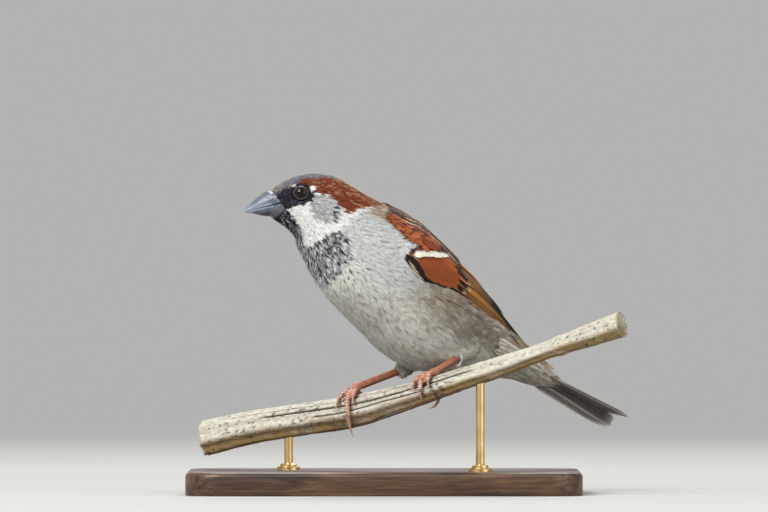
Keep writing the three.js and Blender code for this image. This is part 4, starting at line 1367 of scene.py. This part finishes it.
def body_sheet():
    stations, turns = np.linspace(0, LAST, 201), np.linspace(-180, 180, 145)
    middle, _, _, left, up = body_at(stations)
    a = np.radians(turns)[None, :, None]
    out = left[:, None] * np.sin(a) + up[:, None] * np.cos(a)
    ideal = body_radius(stations[:, None], a[..., 0])
    reach = ideal.copy()
    for i, j in np.ndindex(reach.shape):
        if stations[i] < FACE_HOLLOW:
            outside = middle[i] + out[i, j] * 2 * ideal[i, j]
            _, _, _, inwards = hull.ray_cast(Vector(outside), Vector(-out[i, j]))
            far = None if inwards is None else 2 * ideal[i, j] - inwards
        else:
            _, _, _, far = hull.ray_cast(Vector(middle[i]), Vector(out[i, j]))
        if far is not None:
            reach[i, j] = far - CLOSE_GAPS
    reach = np.clip(reach, ideal - 0.6 * MM, ideal + 3.2 * MM)
    for _ in range(4):
        reach[1:-1] = (reach[:-2] + 2 * reach[1:-1] + reach[2:]) / 4
        loop = np.concatenate([reach[:, -2:-1], reach, reach[:, 1:2]], axis=1)
        reach = (loop[:, :-2] + 2 * loop[:, 1:-1] + loop[:, 2:]) / 4
    places = middle[:, None] + out * reach[..., None]
    return Sheet(stations, turns, places, out, wraps=True)


body_surface = body_sheet()


def scatter(sheet, span, across, spacing, keep):
    """Even random roots on a part of a sheet, no closer than spacing(along) to one another."""
    a = chance.uniform(*span, SCATTER_TRIES)
    b = chance.uniform(*across, SCATTER_TRIES)
    stretch = sheet.sample(sheet.stretch, a, b)
    gap = spacing(a) * MM
    weight = stretch[:, 0] * stretch[:, 1] / gap**2
    wanted = weight.mean() * (span[1] - span[0]) * (across[1] - across[0]) * 3.2
    chosen = chance.choice(SCATTER_TRIES, min(int(wanted), SCATTER_TRIES - 1), p=weight / weight.sum())
    a = a[chosen] + chance.normal(0, 0.004, len(chosen)) * (span[1] - span[0])
    b = b[chosen] + chance.normal(0, 0.003, len(chosen)) * (across[1] - across[0])
    good = (a > span[0]) & (a < span[1]) & (b > across[0]) & (b < across[1])
    a, b = a[good], b[good]
    good = keep(a, b)
    a, b = a[good], b[good]
    places = sheet.sample(sheet.places, a, b)
    gap = spacing(a) * MM
    tree = KDTree(len(a))
    for k, place in enumerate(places):
        tree.insert(place, k)
    tree.balance()
    alive = np.ones(len(a), bool)
    for k in range(len(a)):
        if alive[k]:
            for _, other, _ in tree.find_range(places[k], gap[k]):
                if other > k:
                    alive[other] = False
    return np.stack([a[alive], b[alive]], 1)


def eye_gap(places):
    """How far each place is from the middle of the nearer eye, seen along that eye's look."""
    best = np.full(len(places), 9.0)
    for side in (1, -1):
        middle, look = eye_frame(side)
        off = places - middle
        near = np.linalg.norm(off - np.outer(off @ look, look), axis=1)
        closer = (off @ look > -1.5 * MM) & (near < best)
        best[closer] = near[closer]
    return best


def coat_unwrap(roots):
    """Each root's place on an unwrap of the skin: round the body, and from the face to the tail."""
    return np.stack([roots[:, 1] / 360 + 0.5, 0.02 + 0.094 * roots[:, 0]], 1)


def closed_shape(outline, over, under):
    """A thin closed blade. Its two sides meet at the outline alone: each has inner points of its own,
    so that they share no face and no edge across the blade."""
    rim = len(outline)
    points, heights, faces = list(outline), [0] * rim, []
    for height, inner in ((1, over), (-1, under)):
        flat = [Vector(point) for point in outline + inner]
        found = delaunay_2d_cdt(flat, [], [list(range(rim))], 1, 1e-6)[2]
        for face in found:
            corners = [k if k < rim else k + len(points) - rim for k in face]
            faces.append(corners[::height])
        points += inner
        heights += [height] * len(inner)
    return Shape([p[0] for p in points], [p[1] for p in points], heights, faces)


def soft_shape(barbs, split, low, wide):
    """A loose contour feather: a narrow vane whose end parts into pointed barbs. Every other barb is
    held by a point over the vane and the rest by a point under it."""
    outline = [(0.0, 0.0), (-0.7, 0.22), (-1.0, 0.55)]
    step = 1.8 / (barbs - 1)
    inner = [[(0.0, 0.3)], [(0.0, 0.3)]]
    for k in range(barbs):
        across = -0.9 + step * k
        outline.append((across, 1 - 0.16 * across**2))
        inner[k % 2].append((across * wide, low))
        if k < barbs - 1:
            outline.append((across + step / 2, split))
    outline += [(1.0, 0.55), (0.7, 0.22)]
    return closed_shape(outline, *inner)


soft_feather = soft_shape(5, 0.66, 0.58, 0.8)
fine_feather = soft_shape(4, 0.6, 0.5, 0.75)


def soft_coat(sheet, roots, length, half, depth, lift, swing, colours, shape=soft_feather, droop=0.0):
    """Feathers grown from roots: returns a group for feather_mesh. Measures are in mm."""
    count = len(roots)
    length = length * chance.uniform(0.82, 1.15, count)
    half = half * chance.uniform(0.8, 1.2, count)
    angle = np.radians(chance.normal(0, 1, count) * swing + droop)
    end = sheet.march(roots, length * MM, angle)
    t = shape.t[None]
    barb = chance.uniform(-1, 1, (count, len(shape.x)))
    ragged = np.where(t > 0.58, barb, 0)
    across = (shape.x[None] * half[:, None] * (1 + 0.12 * ragged)) * MM
    rise = -depth[:, None] * (1 - np.clip(t, 0, 1)) ** 1.3 * 0.92
    curl = chance.uniform(0.15, 1, count)[:, None] * lift[:, None]
    rise = (rise + curl * t**2 + 0.25 * lift[:, None] * ragged * t) * MM
    rise = rise + FEATHER_THICK * shape.z[None] * (1.4 - t)
    rise = rise - 0.12 * (across / (half[:, None] * MM)) ** 2 * half[:, None] * MM
    corners = sheet.lay(roots, end, shape, across, rise)
    whole = np.linalg.norm(np.ptp(corners, axis=1), axis=1) < 1.6 * length * MM + 1.2 * MM
    roots, corners, across = roots[whole], corners[whole], across[whole]
    length, barb, count = length[whole], barb[whole], int(whole.sum())
    base, tip, tip_from = (values[whole] for values in colours)
    share = smooth_step(tip_from[:, None] - 0.12, tip_from[:, None] + 0.12, t + 0.06 * barb)
    fringe = smooth_step(0.6, 0.9, np.abs(shape.x))[None] * smooth_step(0.8, 0.9, tip_from)[:, None]
    share = np.maximum(share, 0.9 * fringe)
    shades = mix(base[:, None], tip[:, None], share)
    tone = chance.normal(1, 0.07, (count, 1)) * (1 + 0.09 * barb * (t > 0.5)) * (0.94 + 0.06 * t)
    shades = shades * tone[..., None]
    vane = np.stack([across / MM, t * length[:, None] + 0 * across], -1)
    return shape, corners, shades, vane, coat_unwrap(roots)


def body_keep(a, b):
    places = body_surface.sample(body_surface.places, a, b)
    covered = inside(WING_PATCH, a, np.abs(b))
    return ~covered & (eye_gap(places) > EYE_CLEAR) & (on_horn(places) < -0.1 * MM)


def contour_feathers():
    roots = scatter(body_surface, (0.02, 9.95), (-180, 180), lambda a: at_stations(COAT_SPACING, a),
                    body_keep)
    s = roots[:, 0]
    places = body_surface.sample(body_surface.places, s, roots[:, 1])
    length = at_stations(COAT_LENGTH, s)
    gap = eye_gap(places)
    ahead = body_surface.march(roots, length * MM, np.zeros(len(s)))
    far = eye_gap(body_surface.sample(body_surface.places, ahead[:, 0], ahead[:, 1]))
    short = np.clip((np.minimum(far, gap) - EYE_CLEAR + 0.25 * MM) / (1.1 * MM), 0.3, 1)
    length = length * np.where(gap < 5.5 * MM, short, 1)
    turn = np.abs(roots[:, 1])
    fine = smooth_step(112, 124, turn) * smooth_step(1.2, 2, s) * smooth_step(5, 4.6, s)
    length = length * (1 - 0.3 * fine)
    before_wing = inside(WING_PATCH, s + 0.12, turn) & ~inside(WING_PATCH, s, turn)
    before_wing &= (turn > 66) & (turn < 84)
    before_shoulder = inside(SHOULDER_PATCH, s + 0.08, turn - 3) & ~inside(SHOULDER_PATCH, s, turn)
    over = np.where(before_wing | before_shoulder, 0.5, 0)
    length = length * np.where(over > 0, 0.55, 1)
    seen = body_surface.march(roots, 0.8 * length * MM, np.zeros(len(s)))
    seen_places = body_surface.sample(body_surface.places, seen[:, 0], seen[:, 1])
    base, tip, tip_from = markings(seen[:, 0], (seen[:, 1] + 180) % 360 - 180, seen_places, 0.8)
    groups = {}
    for label, (start, end) in COAT_BANDS.items():
        k = (s >= start) & (s < end)
        values = [at_stations(row, s[k]) for row in (COAT_WIDTH, COAT_DEPTH, COAT_LIFT, COAT_SWING)]
        values[0] = values[0] * (1 - 0.3 * fine[k])
        crown = smooth_step(60, 35, turn[k]) * smooth_step(4, 3.2, s[k])
        values[2] = values[2] + CROWN_LIFT * crown + over[k]
        colours = (base[k], tip[k], tip_from[k])
        shape = fine_feather if label == "head" else soft_feather
        groups[label] = [soft_coat(body_surface, roots[k], length[k], *values, colours, shape)]
    return groups


coat = contour_feathers()


def thigh_thick(t):
    return np.where(t < 0.5, 7 - 8.2 * t, 3.5 - 1.2 * t) * MM


def thigh_feathers():
    """Soft feathers that run down each thigh and end in a loose pale cuff round the tarsus."""
    groups = []
    for side, leg in LEGS.items():
        hip, ankle, foot = (np.array(leg[k]) * MM for k in ("hip", "ankle", "foot"))
        cuff = ankle + unit(foot - ankle) * leg["cuff"] * MM
        sheet = limb_sheet(np.array([hip, ankle, cuff]), thigh_thick, 1.0)
        roots = scatter(sheet, (0.34, 0.98), (-180, 180), lambda a: 0.5 + 0 * a, lambda a, b: a > 0)
        length = np.interp(roots[:, 0], [0, 0.5, 0.85, 1], [5, 4, 2.6, 2.2])
        tips = sheet.march(roots, length * MM, np.zeros(len(roots)))
        tips = sheet.sample(sheet.places, tips[:, 0], tips[:, 1])
        gap = np.array([hull.find_nearest(Vector(tip))[3] for tip in tips])
        roots, length = roots[gap < 0.9 * MM], length[gap < 0.9 * MM]
        part = roots[:, 0]
        full = np.ones(len(part))
        wisp = smooth_step(0.8, 0.9, part)
        pale = mix(mix(FLANK_BROWN, BELLY_WHITE, 0.6), WHITE, wisp)
        colours = (pale * 0.85, pale, 0.5 * full)
        groups.append(soft_coat(sheet, roots, length, 0.45 - 0.2 * wisp, 1.1 - 0.5 * part,
                                0.35 + 0.9 * wisp, 12 + 16 * wisp, colours))
    return groups


coat["belly"] += thigh_feathers()


def nasal_bristles():
    """Short stiff feathers that point forward from the brow and lores over the base of the bill."""
    def keep(a, b):
        ahead = on_horn(body_surface.sample(body_surface.places, a, b))
        return (ahead < -0.05 * MM) & (ahead > -1.1 * MM)

    roots = scatter(body_surface, (0.02, 1.1), (-112, 112), lambda a: 0.24 + 0 * a, keep)
    turn = np.abs(roots[:, 1])
    count = len(roots)
    full = np.ones(count)
    forward = np.interp(turn, [0, 50, 85, 112], [2.7, 2.6, 1.5, 0.9])
    brow = smooth_step(50, 34, turn + 8 * chance.normal(0, 1, count))
    # The black bristles are painted with a bluish sheen: painted highlight.
    colour = mix(mix(BLACK, PAINTED_BLUE_SHEEN, 0.4 * chance.random(count) ** 2), BUFF_FOREHEAD, brow)
    colours = (colour * 0.8, colour, np.full(count, 0.6))
    return soft_coat(body_surface, roots, forward, 0.17 * full, 0.15 * full, 0.7 * full, 12 * full,
                     colours, fine_feather, droop=math.pi)


coat["head"].append(nasal_bristles())


# ---- Mantle, scapulars and small wing coverts ----
# Firmer feathers over the back and shoulder: black-centred and edged with buff and chestnut on the
# mantle, plain chestnut on the shoulder, and tipped with white in the row that makes the wing bar.
STREAK_BLACK = linear(22, 20, 28)
STREAK_RUST = linear(156, 84, 42)
BAR_WHITE = linear(220, 215, 200)
MANTLE_SPAN, MANTLE_TURN = (4.6, 7.3), 54
MANTLE_EDGE = [4.6, 5.2, 6.3, 7.3], [44, 51, 60, 34]  # stations, and how far round the mantle reaches
BAR_LINE = np.array([(5.6, 78.5), (5.68, 75.5), (5.78, 72), (5.92, 66.5), (6.07, 59), (6.2, 51.5)])
covert_vane = vane_shape(8, 7, 0.5)


def vane_group(sheet, start, end, half, rise, paint_vane, shape=covert_vane, roots=None, camber=0.12,
               tilt=0.0, thick=0.07, dip=0.0):
    """A group of firm feathers. half and rise are in mm; paint_vane(x, t) gives each corner's colour."""
    count = len(start)
    x, t = shape.x[None], shape.t[None]
    half = np.broadcast_to(np.asarray(half, float), (count,))[:, None]
    across = x * half * MM
    height = np.asarray(rise, float).reshape(-1, 1) + thick * shape.z[None] * (1.2 - t)
    height = height - camber * half * x**2 + tilt * x * half + 0.12 * t - dip * (1 - np.clip(t, 0, 1)) ** 2
    corners = sheet.lay(start, end, shape, across, height * MM)
    first, last = (sheet.sample(sheet.places, at[:, 0], at[:, 1]) for at in (start, end))
    length = np.linalg.norm(last - first, axis=1)[:, None] / MM
    wide = np.broadcast_to(x, (count, len(shape.x)))
    long = np.broadcast_to(t, wide.shape)
    shades = paint_vane(wide, long) * chance.normal(1, 0.06, (count, 1, 1))
    vane = np.stack([across / MM, t * length + 0 * across], -1)
    return shape, corners, shades, vane, coat_unwrap(start) if roots is None else roots


def streaked(edge, lean):
    """A black-centred feather whose black leans to one web, with pale edges."""
    def paint_vane(x, t):
        dark = smooth_step(0.62, 0.42, np.abs(x - lean)) * smooth_step(0.97, 0.86, t)
        ragged = 0.1 * np.sin(31 * t + 9 * x)
        return mix(edge[:, None] + 0 * x[..., None], STREAK_BLACK, np.clip(dark + ragged * dark, 0, 1))
    return paint_vane


def body_roots(span, across, spacing, keep):
    """Roots on the body at one spacing in mm, which grow by marching towards the tail."""
    return scatter(body_surface, span, across, lambda a: spacing + 0 * a, keep)


def body_tips(roots, shortest, longest, swing):
    """Where firm feathers end: lengths in mm, and degrees that they differ in their lie."""
    count = len(roots)
    length = chance.uniform(shortest, longest, count) * MM
    return body_surface.march(roots, length, np.radians(chance.normal(0, swing, count)))


def mantle_feathers():
    def keep(a, b):
        return np.abs(b) < np.interp(a, *MANTLE_EDGE)

    roots = body_roots(MANTLE_SPAN, (-MANTLE_TURN, MANTLE_TURN), 1.25, keep)
    roots = roots[np.argsort(-roots[:, 0])]
    count = len(roots)
    angle = np.radians(chance.normal(0, 4, count))
    end = body_surface.march(roots, chance.uniform(6.4, 8.6, count) * MM, angle)
    rank = chance.random((count, 1))
    rust = mix(STREAK_BUFF, STREAK_RUST, smooth_step(0.45, 0.75, rank[:, 0]))
    lean = np.sign(roots[:, 1:]) * 0.25
    rise = 0.35 + 0.25 * chance.random(count)
    return [vane_group(body_surface, roots, end, 1.4, rise, streaked(rust, lean))]


def shoulder_coverts():
    """The chestnut lesser coverts, in small overlapping tiles on both shoulders."""
    def keep(a, b):
        return inside(SHOULDER_PATCH, a, np.abs(b))

    roots = np.concatenate([body_roots((4.6, 5.8), across, 0.95, keep) for across in ((36, 74), (-74, -36))])
    count = len(roots)
    end = body_tips(roots, 3.6, 4.8, 6)
    tone = mix(CHESTNUT * 0.9, STREAK_RUST, chance.random(count) ** 1.3)

    def paint_vane(x, t):
        # The root of each covert, under the one before it, is painted a dark copy of chestnut: painted shade.
        lit = smooth_step(0.2, 0.6, t + 0.25 * np.abs(x))
        colour = mix(CHESTNUT * 0.4 + 0 * x[..., None], tone[:, None], lit)
        return mix(colour, STREAK_BUFF, 0.35 * smooth_step(0.93, 1.0, t))

    return [vane_group(body_surface, roots, end, 0.95, 0.4 + 0.25 * chance.random(count), paint_vane)]


def median_coverts():
    """One row of black coverts with broad white tips, which lie together as the wing bar."""
    groups = []
    for side in (1, -1):
        tips = through(BAR_LINE, np.linspace(0, 1, 10)) * [1, side]
        start = tips - np.array([0.27, 1.5 * side])
        tips = tips + chance.normal(0, 1, (10, 2)) * [0.018, 0.5]
        from_here = chance.uniform(0.4, 0.58, (10, 1))

        def paint_vane(x, t):
            ragged = 0.05 * np.sin(40 * x) - 0.12 * np.abs(x)
            dark = mix(CHESTNUT * 0.8 + 0 * x[..., None], STREAK_BLACK, smooth_step(0.7, 0.3, np.abs(x)))
            return mix(dark, BAR_WHITE, smooth_step(-0.04, 0.04, t + ragged - from_here))

        groups.append(vane_group(body_surface, start, tips, np.linspace(1.9, 1.2, 10),
                                 np.linspace(0.3, 0.5, 10), paint_vane, dip=0.7))
    return groups


def undertail_coverts():
    """Long loose feathers under the tail root, pale with a dusky streak along each shaft."""
    roots = body_roots((8.0, 9.5), (-180, 180), 1.4, lambda a, b: np.abs(b) > 98)
    count = len(roots)
    end = body_tips(roots, 7.5, 10, 5)

    def paint_vane(x, t):
        dusky = smooth_step(0.45, 0.1, np.abs(x)) * smooth_step(0.95, 0.7, t)
        return mix(UNDERTAIL + 0 * x[..., None], FLANK_BROWN * 0.45, 0.75 * dusky)

    return [vane_group(body_surface, roots, end, 1.25, 0.15 + 0.3 * chance.random(count), paint_vane)]


def uppertail_coverts():
    """Grey-brown feathers that lie over the quills of the tail."""
    roots = body_roots((8.3, 9.5), (-180, 180), 1.0, lambda a, b: np.abs(b) < 84)
    count = len(roots)
    end = body_tips(roots, 8.5, 11.5, 4)

    def paint_vane(x, t):
        fringe = smooth_step(0.35, 0.8, np.maximum(np.abs(x), 1.4 * t - 0.5))
        return mix(RUMP_BROWN * 0.7 + 0 * x[..., None], mix(STREAK_BUFF, RUMP_BROWN, 0.4), fringe)

    return [vane_group(body_surface, roots, end, 0.95, 0.15 + 0.35 * chance.random(count), paint_vane)]


coat["mantle"] = mantle_feathers() + shoulder_coverts() + median_coverts()
coat["rump"] += undertail_coverts() + uppertail_coverts()

soft_finish, firm_finish = plumage_finish("plumage", 0.55), plumage_finish("firm_plumage", 0.55, 0.1)
for coat_label, coat_groups in coat.items():
    coat_mesh = feather_mesh(f"feathers_{coat_label}", coat_groups)
    coat_finish = firm_finish if coat_label == "mantle" else soft_finish
    add_piece(coat_mesh.name, coat_mesh, coat_finish)


# ---- Wings ----
# Each closed wing is a stack of long vanes: nine primaries lie lowest and run to the tip, six
# secondaries and six tertials fold over them, and rows of coverts cover their quills like slates.
WING_EDGES = {  # three lines of the outer surface, in mm along, out and up from the breast
    "lower": [(-13, 20, -4.6), (-1.5, 20.4, -3.4), (13, 17.9, 2.2), (31.3, 12.6, 8.8), (52.3, 5.5, 16.4)],
    "middle": [(-15, 23.6, 10), (0, 23.2, 12.5), (16, 18, 17), (33, 10.5, 18.4), (53, 4.8, 17.4)],
    "upper": [(-14, 10, 17.6), (2, 5.6, 20.2), (18, 3, 20.4), (33, 2.4, 20), (52.6, 3.4, 16.9)],
}
WING_PITCH, WING_YAW, WING_ROLL = 40, 30, 10
QUILL_DIP = 0.8  # mm that a wing feather's root sinks under its neighbours
FLIGHT_BLACK = linear(22, 17, 16)
FLIGHT_EDGE = linear(178, 94, 36)
FLIGHT_LINE = linear(206, 142, 72)
COVERT_RUST = linear(142, 70, 26)
COVERT_DARK = linear(92, 50, 28)
EDGE_CREAM = linear(226, 206, 166)
COVERT_LINE = np.array([(0.27, 0.07), (0.36, 0.07), (0.43, 0.09), (0.455, 0.15), (0.43, 0.27),
                        (0.37, 0.4), (0.33, 0.58)])  # tips of the greater coverts
PRIMARY_TIPS = np.array([(0.975, 0.2), (0.992, 0.28), (0.99, 0.36), (0.968, 0.44), (0.94, 0.46),
                         (0.908, 0.48), (0.876, 0.5), (0.846, 0.5), (0.82, 0.5)])
flight_vane = vane_shape(26, 11, 0.62)
tertial_vane = vane_shape(16, 11, 0.55)


def wing_sheet(side):
    shares, rises = np.linspace(0, 1, 81), np.linspace(0, 1, 41)
    lines = (np.array(WING_EDGES[name], float) for name in ("lower", "middle", "upper"))
    low, mid, top = (through(line, shares)[:, None] for line in lines)
    r = rises[None, :, None]
    p = (low * (1 - r) ** 2 + mid * 2 * r * (1 - r) + top * r**2) * MM
    along = heading(WING_PITCH, WING_YAW)
    left, up = axes_for(along, np.array(float(WING_YAW)), np.array(float(WING_ROLL)))
    breast = body_at(6.0)[0]
    places = breast + along * p[..., :1] + left * side * p[..., 1:2] + up * p[..., 2:]
    outward = left * side * 0.8 + up * 0.6
    return Sheet(shares, rises, places, outward + 0 * places)


def wing_paint(centre, edge, line, split, tip=None, tip_from=0.9):
    """Colours of a vane: a dark centre, a coloured outer edge, a pale line on it, and the tip."""
    def paint_vane(x, t):
        outer = smooth_step(-split + 0.12, -split - 0.12, x)
        colour = mix(centre + 0 * x[..., None], edge, outer)
        colour = mix(colour, line, smooth_step(-0.76, -0.86, x))
        colour = mix(colour, edge * 0.6, 0.5 * smooth_step(0.75, 0.95, x))
        if tip is not None:
            colour = mix(colour, tip, smooth_step(tip_from - 0.03, tip_from + 0.03, t + 0.03 * np.abs(x)))
        return colour
    return paint_vane


def covert_paint(x, t):
    """Rufous greater coverts, each with a thin dark streak by its shaft and a paler outer edge."""
    streak = smooth_step(0.34, 0.1, np.abs(x - 0.12)) * smooth_step(0.97, 0.75, t)
    tone = chance.normal(1, 0.16, (len(x), 1, 1))
    colour = mix(COVERT_RUST * tone + 0 * x[..., None], COVERT_DARK * 0.7, 0.4 * streak)
    return mix(colour, FLIGHT_LINE, 0.35 * smooth_step(-0.6, -0.9, x))


def row(first, last, count):
    """Evenly changing (along, rise) places from the first feather of a row to the last."""
    share = np.linspace(0, 1, count)[:, None]
    return np.array(first) + (np.array(last) - np.array(first)) * share


def wing_unwrap(start, side):
    return np.stack([0.25 + 0.25 * (side > 0) + 0.2 * start[:, 0], 0.3 + 0.4 * start[:, 1]], 1)


def wing_feathers(label, side):
    sheet = wing_sheet(side)
    groups = []

    def add(start, end, half, rise, paint_vane, shape=covert_vane, **more):
        groups.append(vane_group(sheet, start, end, half, rise, paint_vane, shape,
                                 roots=wing_unwrap(start, side), dip=QUILL_DIP, **more))

    primaries = wing_paint(FLIGHT_BLACK, FLIGHT_EDGE, FLIGHT_LINE, 0.86)
    add(row((0.2, 0.11), (0.2, 0.24), 9), PRIMARY_TIPS, np.linspace(1.7, 2.3, 9),
        np.linspace(-1.35, -0.95, 9), primaries, flight_vane, camber=0.04, tilt=-0.05)
    secondaries = wing_paint(FLIGHT_BLACK, FLIGHT_EDGE, FLIGHT_LINE, 0.88)
    add(row((0.2, 0.27), (0.2, 0.58), 6), row((0.8, 0.46), (0.78, 0.78), 6), 2.2,
        np.linspace(-0.85, -0.5, 6), secondaries, flight_vane, camber=0.04, tilt=-0.06)
    pale_tip = mix(EDGE_CREAM, FLIGHT_EDGE, 0.25)
    for start, end, half, rise, colours in (  # tertials, from the lowest upwards
        ([(0.24, 0.8)], [(0.83, 0.93)], 2.6, [-0.35], (FLIGHT_LINE, 0.3)),
        ([(0.26, 0.2), (0.2, 0.34)], [(0.53, 0.125), (0.545, 0.21)], [1.15, 1.15], [-0.25, -0.15],
         (EDGE_CREAM, 0.7, pale_tip, 0.94)),
        # This pair's edges are painted a quarter lighter than the other tertials: painted light on feathers
        # that face away from the lamps.
        ([(0.2, 0.74), (0.18, 0.5)], [(0.615, 0.73), (0.515, 0.3)], [2.3, 1.9], [-0.1, 0.05],
         (FLIGHT_EDGE * 1.25, 0.3, pale_tip, 0.95)),
        ([(0.2, 0.9)], [(0.66, 0.93)], 1.7, [0.15], (FLIGHT_LINE, 0.35, pale_tip, 0.96)),
    ):
        add(np.array(start), np.array(end), half, rise, wing_paint(FLIGHT_BLACK, FLIGHT_EDGE, *colours),
            tertial_vane, camber=0.08)
    add(row((0.1, 0.08), (0.22, 0.14), 7), row((0.27, 0.02), (0.44, 0.07), 7), 1.25,
        np.linspace(-0.3, -0.15, 7), wing_paint(FLIGHT_BLACK * 0.8, FLIGHT_BLACK, EDGE_CREAM, 0.8))
    add(row((0.0, 0.13), (0.01, 0.08), 3), row((0.15, 0.08), (0.27, 0.03), 3), 1.3, [0.25, 0.15, 0.05],
        wing_paint(FLIGHT_BLACK * 0.8, FLIGHT_BLACK, EDGE_CREAM, 0.78))
    share = np.linspace(0, 1, 10)
    add(row((0.02, 0.17), (0.22, 0.6), 10), through(COVERT_LINE, share), 1.9, 0.18 * share + 0.08,
        covert_paint, tertial_vane)
    mesh = feather_mesh(f"wing_{label}_feathers", groups)
    add_piece(f"wing_{label}_feathers", mesh, wing_finish,
              [f"wing_{label}_secondaries", f"wing_{label}_primaries"])


wing_finish = plumage_finish("wing_plumage", 0.8, 0.08)
for wing_label, wing_side in (("left", 1), ("right", -1)):
    wing_feathers(wing_label, wing_side)


# ---- Tail ----
# Twelve long rectrices, stacked from the central pair on top to the outermost pair underneath, and
# nearly closed. Their quills are held in the rump under long soft tail coverts.
TAIL_FROM, TAIL_LENGTH, TAIL_ROOT_WIDE, TAIL_TIP_WIDE = 6 * MM, 55 * MM, 8.5 * MM, 18 * MM
TAIL_ARCH, TAIL_NOTCH = 1.5 * MM, 1.5 * MM
TAIL_PITCH, TAIL_YAW, TAIL_ROLL = 26, 30, 19
TAIL_DARK = linear(84, 76, 70)
TAIL_GREY = linear(132, 126, 120)
TAIL_PALE = linear(238, 235, 228)
TAIL_BUFF = linear(182, 150, 112)


def tail_sheet():
    shares, places_across = np.linspace(0, 1, 41), np.linspace(-1, 1, 31)
    along = heading(TAIL_PITCH, TAIL_YAW)
    left, up = axes_for(along, np.array(float(TAIL_YAW)), np.array(float(TAIL_ROLL)))
    root = body_at(8.55)[0]
    wide = TAIL_ROOT_WIDE + (TAIL_TIP_WIDE - TAIL_ROOT_WIDE) * np.minimum(1, 1.15 * shares)
    x = places_across[None, :, None]
    places = (root + along * (TAIL_FROM + (TAIL_LENGTH - TAIL_FROM) * shares)[:, None, None]
              + left * x * (wide / 2)[:, None, None] - up * TAIL_ARCH * x**2)
    return Sheet(shares, places_across, places, up + 0 * places)


def tail_feathers():
    sheet = tail_sheet()
    groups = []
    for pair in range(6):
        out = pair / 5
        start = np.array([(-0.04, 0.1 + 0.35 * out), (-0.04, -0.1 - 0.35 * out)])
        reach = 1 - TAIL_NOTCH / (TAIL_LENGTH - TAIL_FROM) * (1 - out)
        end = np.array([(reach, 0.2 + 0.42 * out), (reach, -0.2 - 0.42 * out)])
        sides = np.array([[1.0], [-1.0]])

        def paint_vane(x, t, out=out):
            outer = x * sides
            paler = 0.2 + 0.8 * out * smooth_step(-0.5, 0.1, outer)
            colour = mix(TAIL_DARK + 0 * x[..., None], TAIL_GREY, paler)
            edge = mix(TAIL_BUFF, TAIL_PALE, np.full(x.shape, out))
            colour = mix(colour, edge, smooth_step(0.72, 0.9, outer))
            colour = mix(colour, TAIL_PALE, 0.6 * smooth_step(0.1, 0.04, np.abs(x)))
            return mix(colour, TAIL_PALE, 0.5 * smooth_step(0.88, 1.0, t))

        roots = np.stack([0.2 + 0.5 * start[:, 0] + 0.1 * pair, 0.5 + 0.3 * start[:, 1]], 1)
        groups.append(vane_group(sheet, start, end, 3.3, 0.42 - 0.17 * pair, paint_vane, flight_vane,
                                 roots=roots, camber=0.05, thick=0.09))
    mesh = feather_mesh("tail_feathers", groups)
    add_piece("tail_feathers", mesh, plumage_finish("tail_plumage", 0.8, 0.15), ["tail"])


tail_feathers()


# ---- Studio ----
# A pale floor that fades into a pale room, soft lights above both sides, and the camera level with
# the bird and square to the display base.
FLOOR_RADIUS, FLOOR_FADE_FROM, FLOOR_FADE_TO = 1.6, 0.35, 1.5
FLOOR_PALE = linear(168, 167, 163)
ROOM_PALE, ROOM_STRENGTH = linear(212, 213, 211), 0.68
CAMERA_BACK = 4.0
VIEW_WIDE = 0.265
VIEW_MIDDLE_UP = 0.082
SENSOR_WIDE = 36.0
LIGHTS = [  # place in metres, watts, size in metres
    ((-1.3, -1.8, 1.9), 138, 1.8),
    ((1.8, -1.3, 0.8), 22, 1.8),
    ((0.2, 1.6, 1.8), 34, 1.2),
]


def studio_floor():
    bm = bmesh.new()
    bmesh.ops.create_circle(bm, cap_ends=True, cap_tris=False, segments=96, radius=FLOOR_RADIUS)
    floor = bpy.data.objects.new("studio_floor", mesh_of("studio_floor", bm))
    bpy.context.scene.collection.objects.link(floor)
    material, tree, shader = new_finish("pale_paper", Roughness=0.9)
    place = own_places(tree)
    length = add_node(tree, "ShaderNodeVectorMath", {"Vector": place}, operation="LENGTH")
    fade = add_node(tree, "ShaderNodeMapRange", {
        "Value": length.outputs["Value"], "From Min": FLOOR_FADE_FROM, "From Max": FLOOR_FADE_TO,
        "To Min": 1.0, "To Max": 0.0,
    }, interpolation_type="SMOOTHSTEP")
    grain = add_noise(tree, place, 300, 2)
    tone = add_ramp(tree, grain, [(0.3, (*FLOOR_PALE * 0.98, 1)), (0.7, (*FLOOR_PALE, 1))])
    tree.links.new(tone, shader.inputs["Base Color"])
    tree.links.new(fade.outputs["Result"], shader.inputs["Alpha"])
    floor.data.materials.append(material)


def studio_lights():
    aim = Vector((0, 0, VIEW_MIDDLE_UP))
    for number, (place, watts, size) in enumerate(LIGHTS, 1):
        light = bpy.data.lights.new(f"soft_light_{number}", "AREA")
        light.energy, light.size = watts, size
        lamp = bpy.data.objects.new(f"soft_light_{number}", light)
        lamp.location = place
        lamp.rotation_euler = (aim - Vector(place)).to_track_quat("-Z", "Y").to_euler()
        bpy.context.scene.collection.objects.link(lamp)
    world = bpy.data.worlds.new("pale_room")
    world.use_nodes = True
    room = world.node_tree.nodes["Background"]
    room.inputs["Color"].default_value = (*ROOM_PALE, 1)
    room.inputs["Strength"].default_value = ROOM_STRENGTH
    bpy.context.scene.world = world


def studio_camera():
    lens = bpy.data.cameras.new("camera")
    lens.sensor_width = SENSOR_WIDE
    lens.lens = SENSOR_WIDE * CAMERA_BACK / VIEW_WIDE
    camera = bpy.data.objects.new("camera", lens)
    camera.location = (0, -CAMERA_BACK, VIEW_MIDDLE_UP)
    camera.rotation_euler = (math.pi / 2, 0, 0)
    bpy.context.scene.collection.objects.link(camera)
    bpy.context.scene.camera = camera


studio_floor()
studio_lights()
studio_camera()
bpy.context.scene.view_settings.view_transform = "Standard"
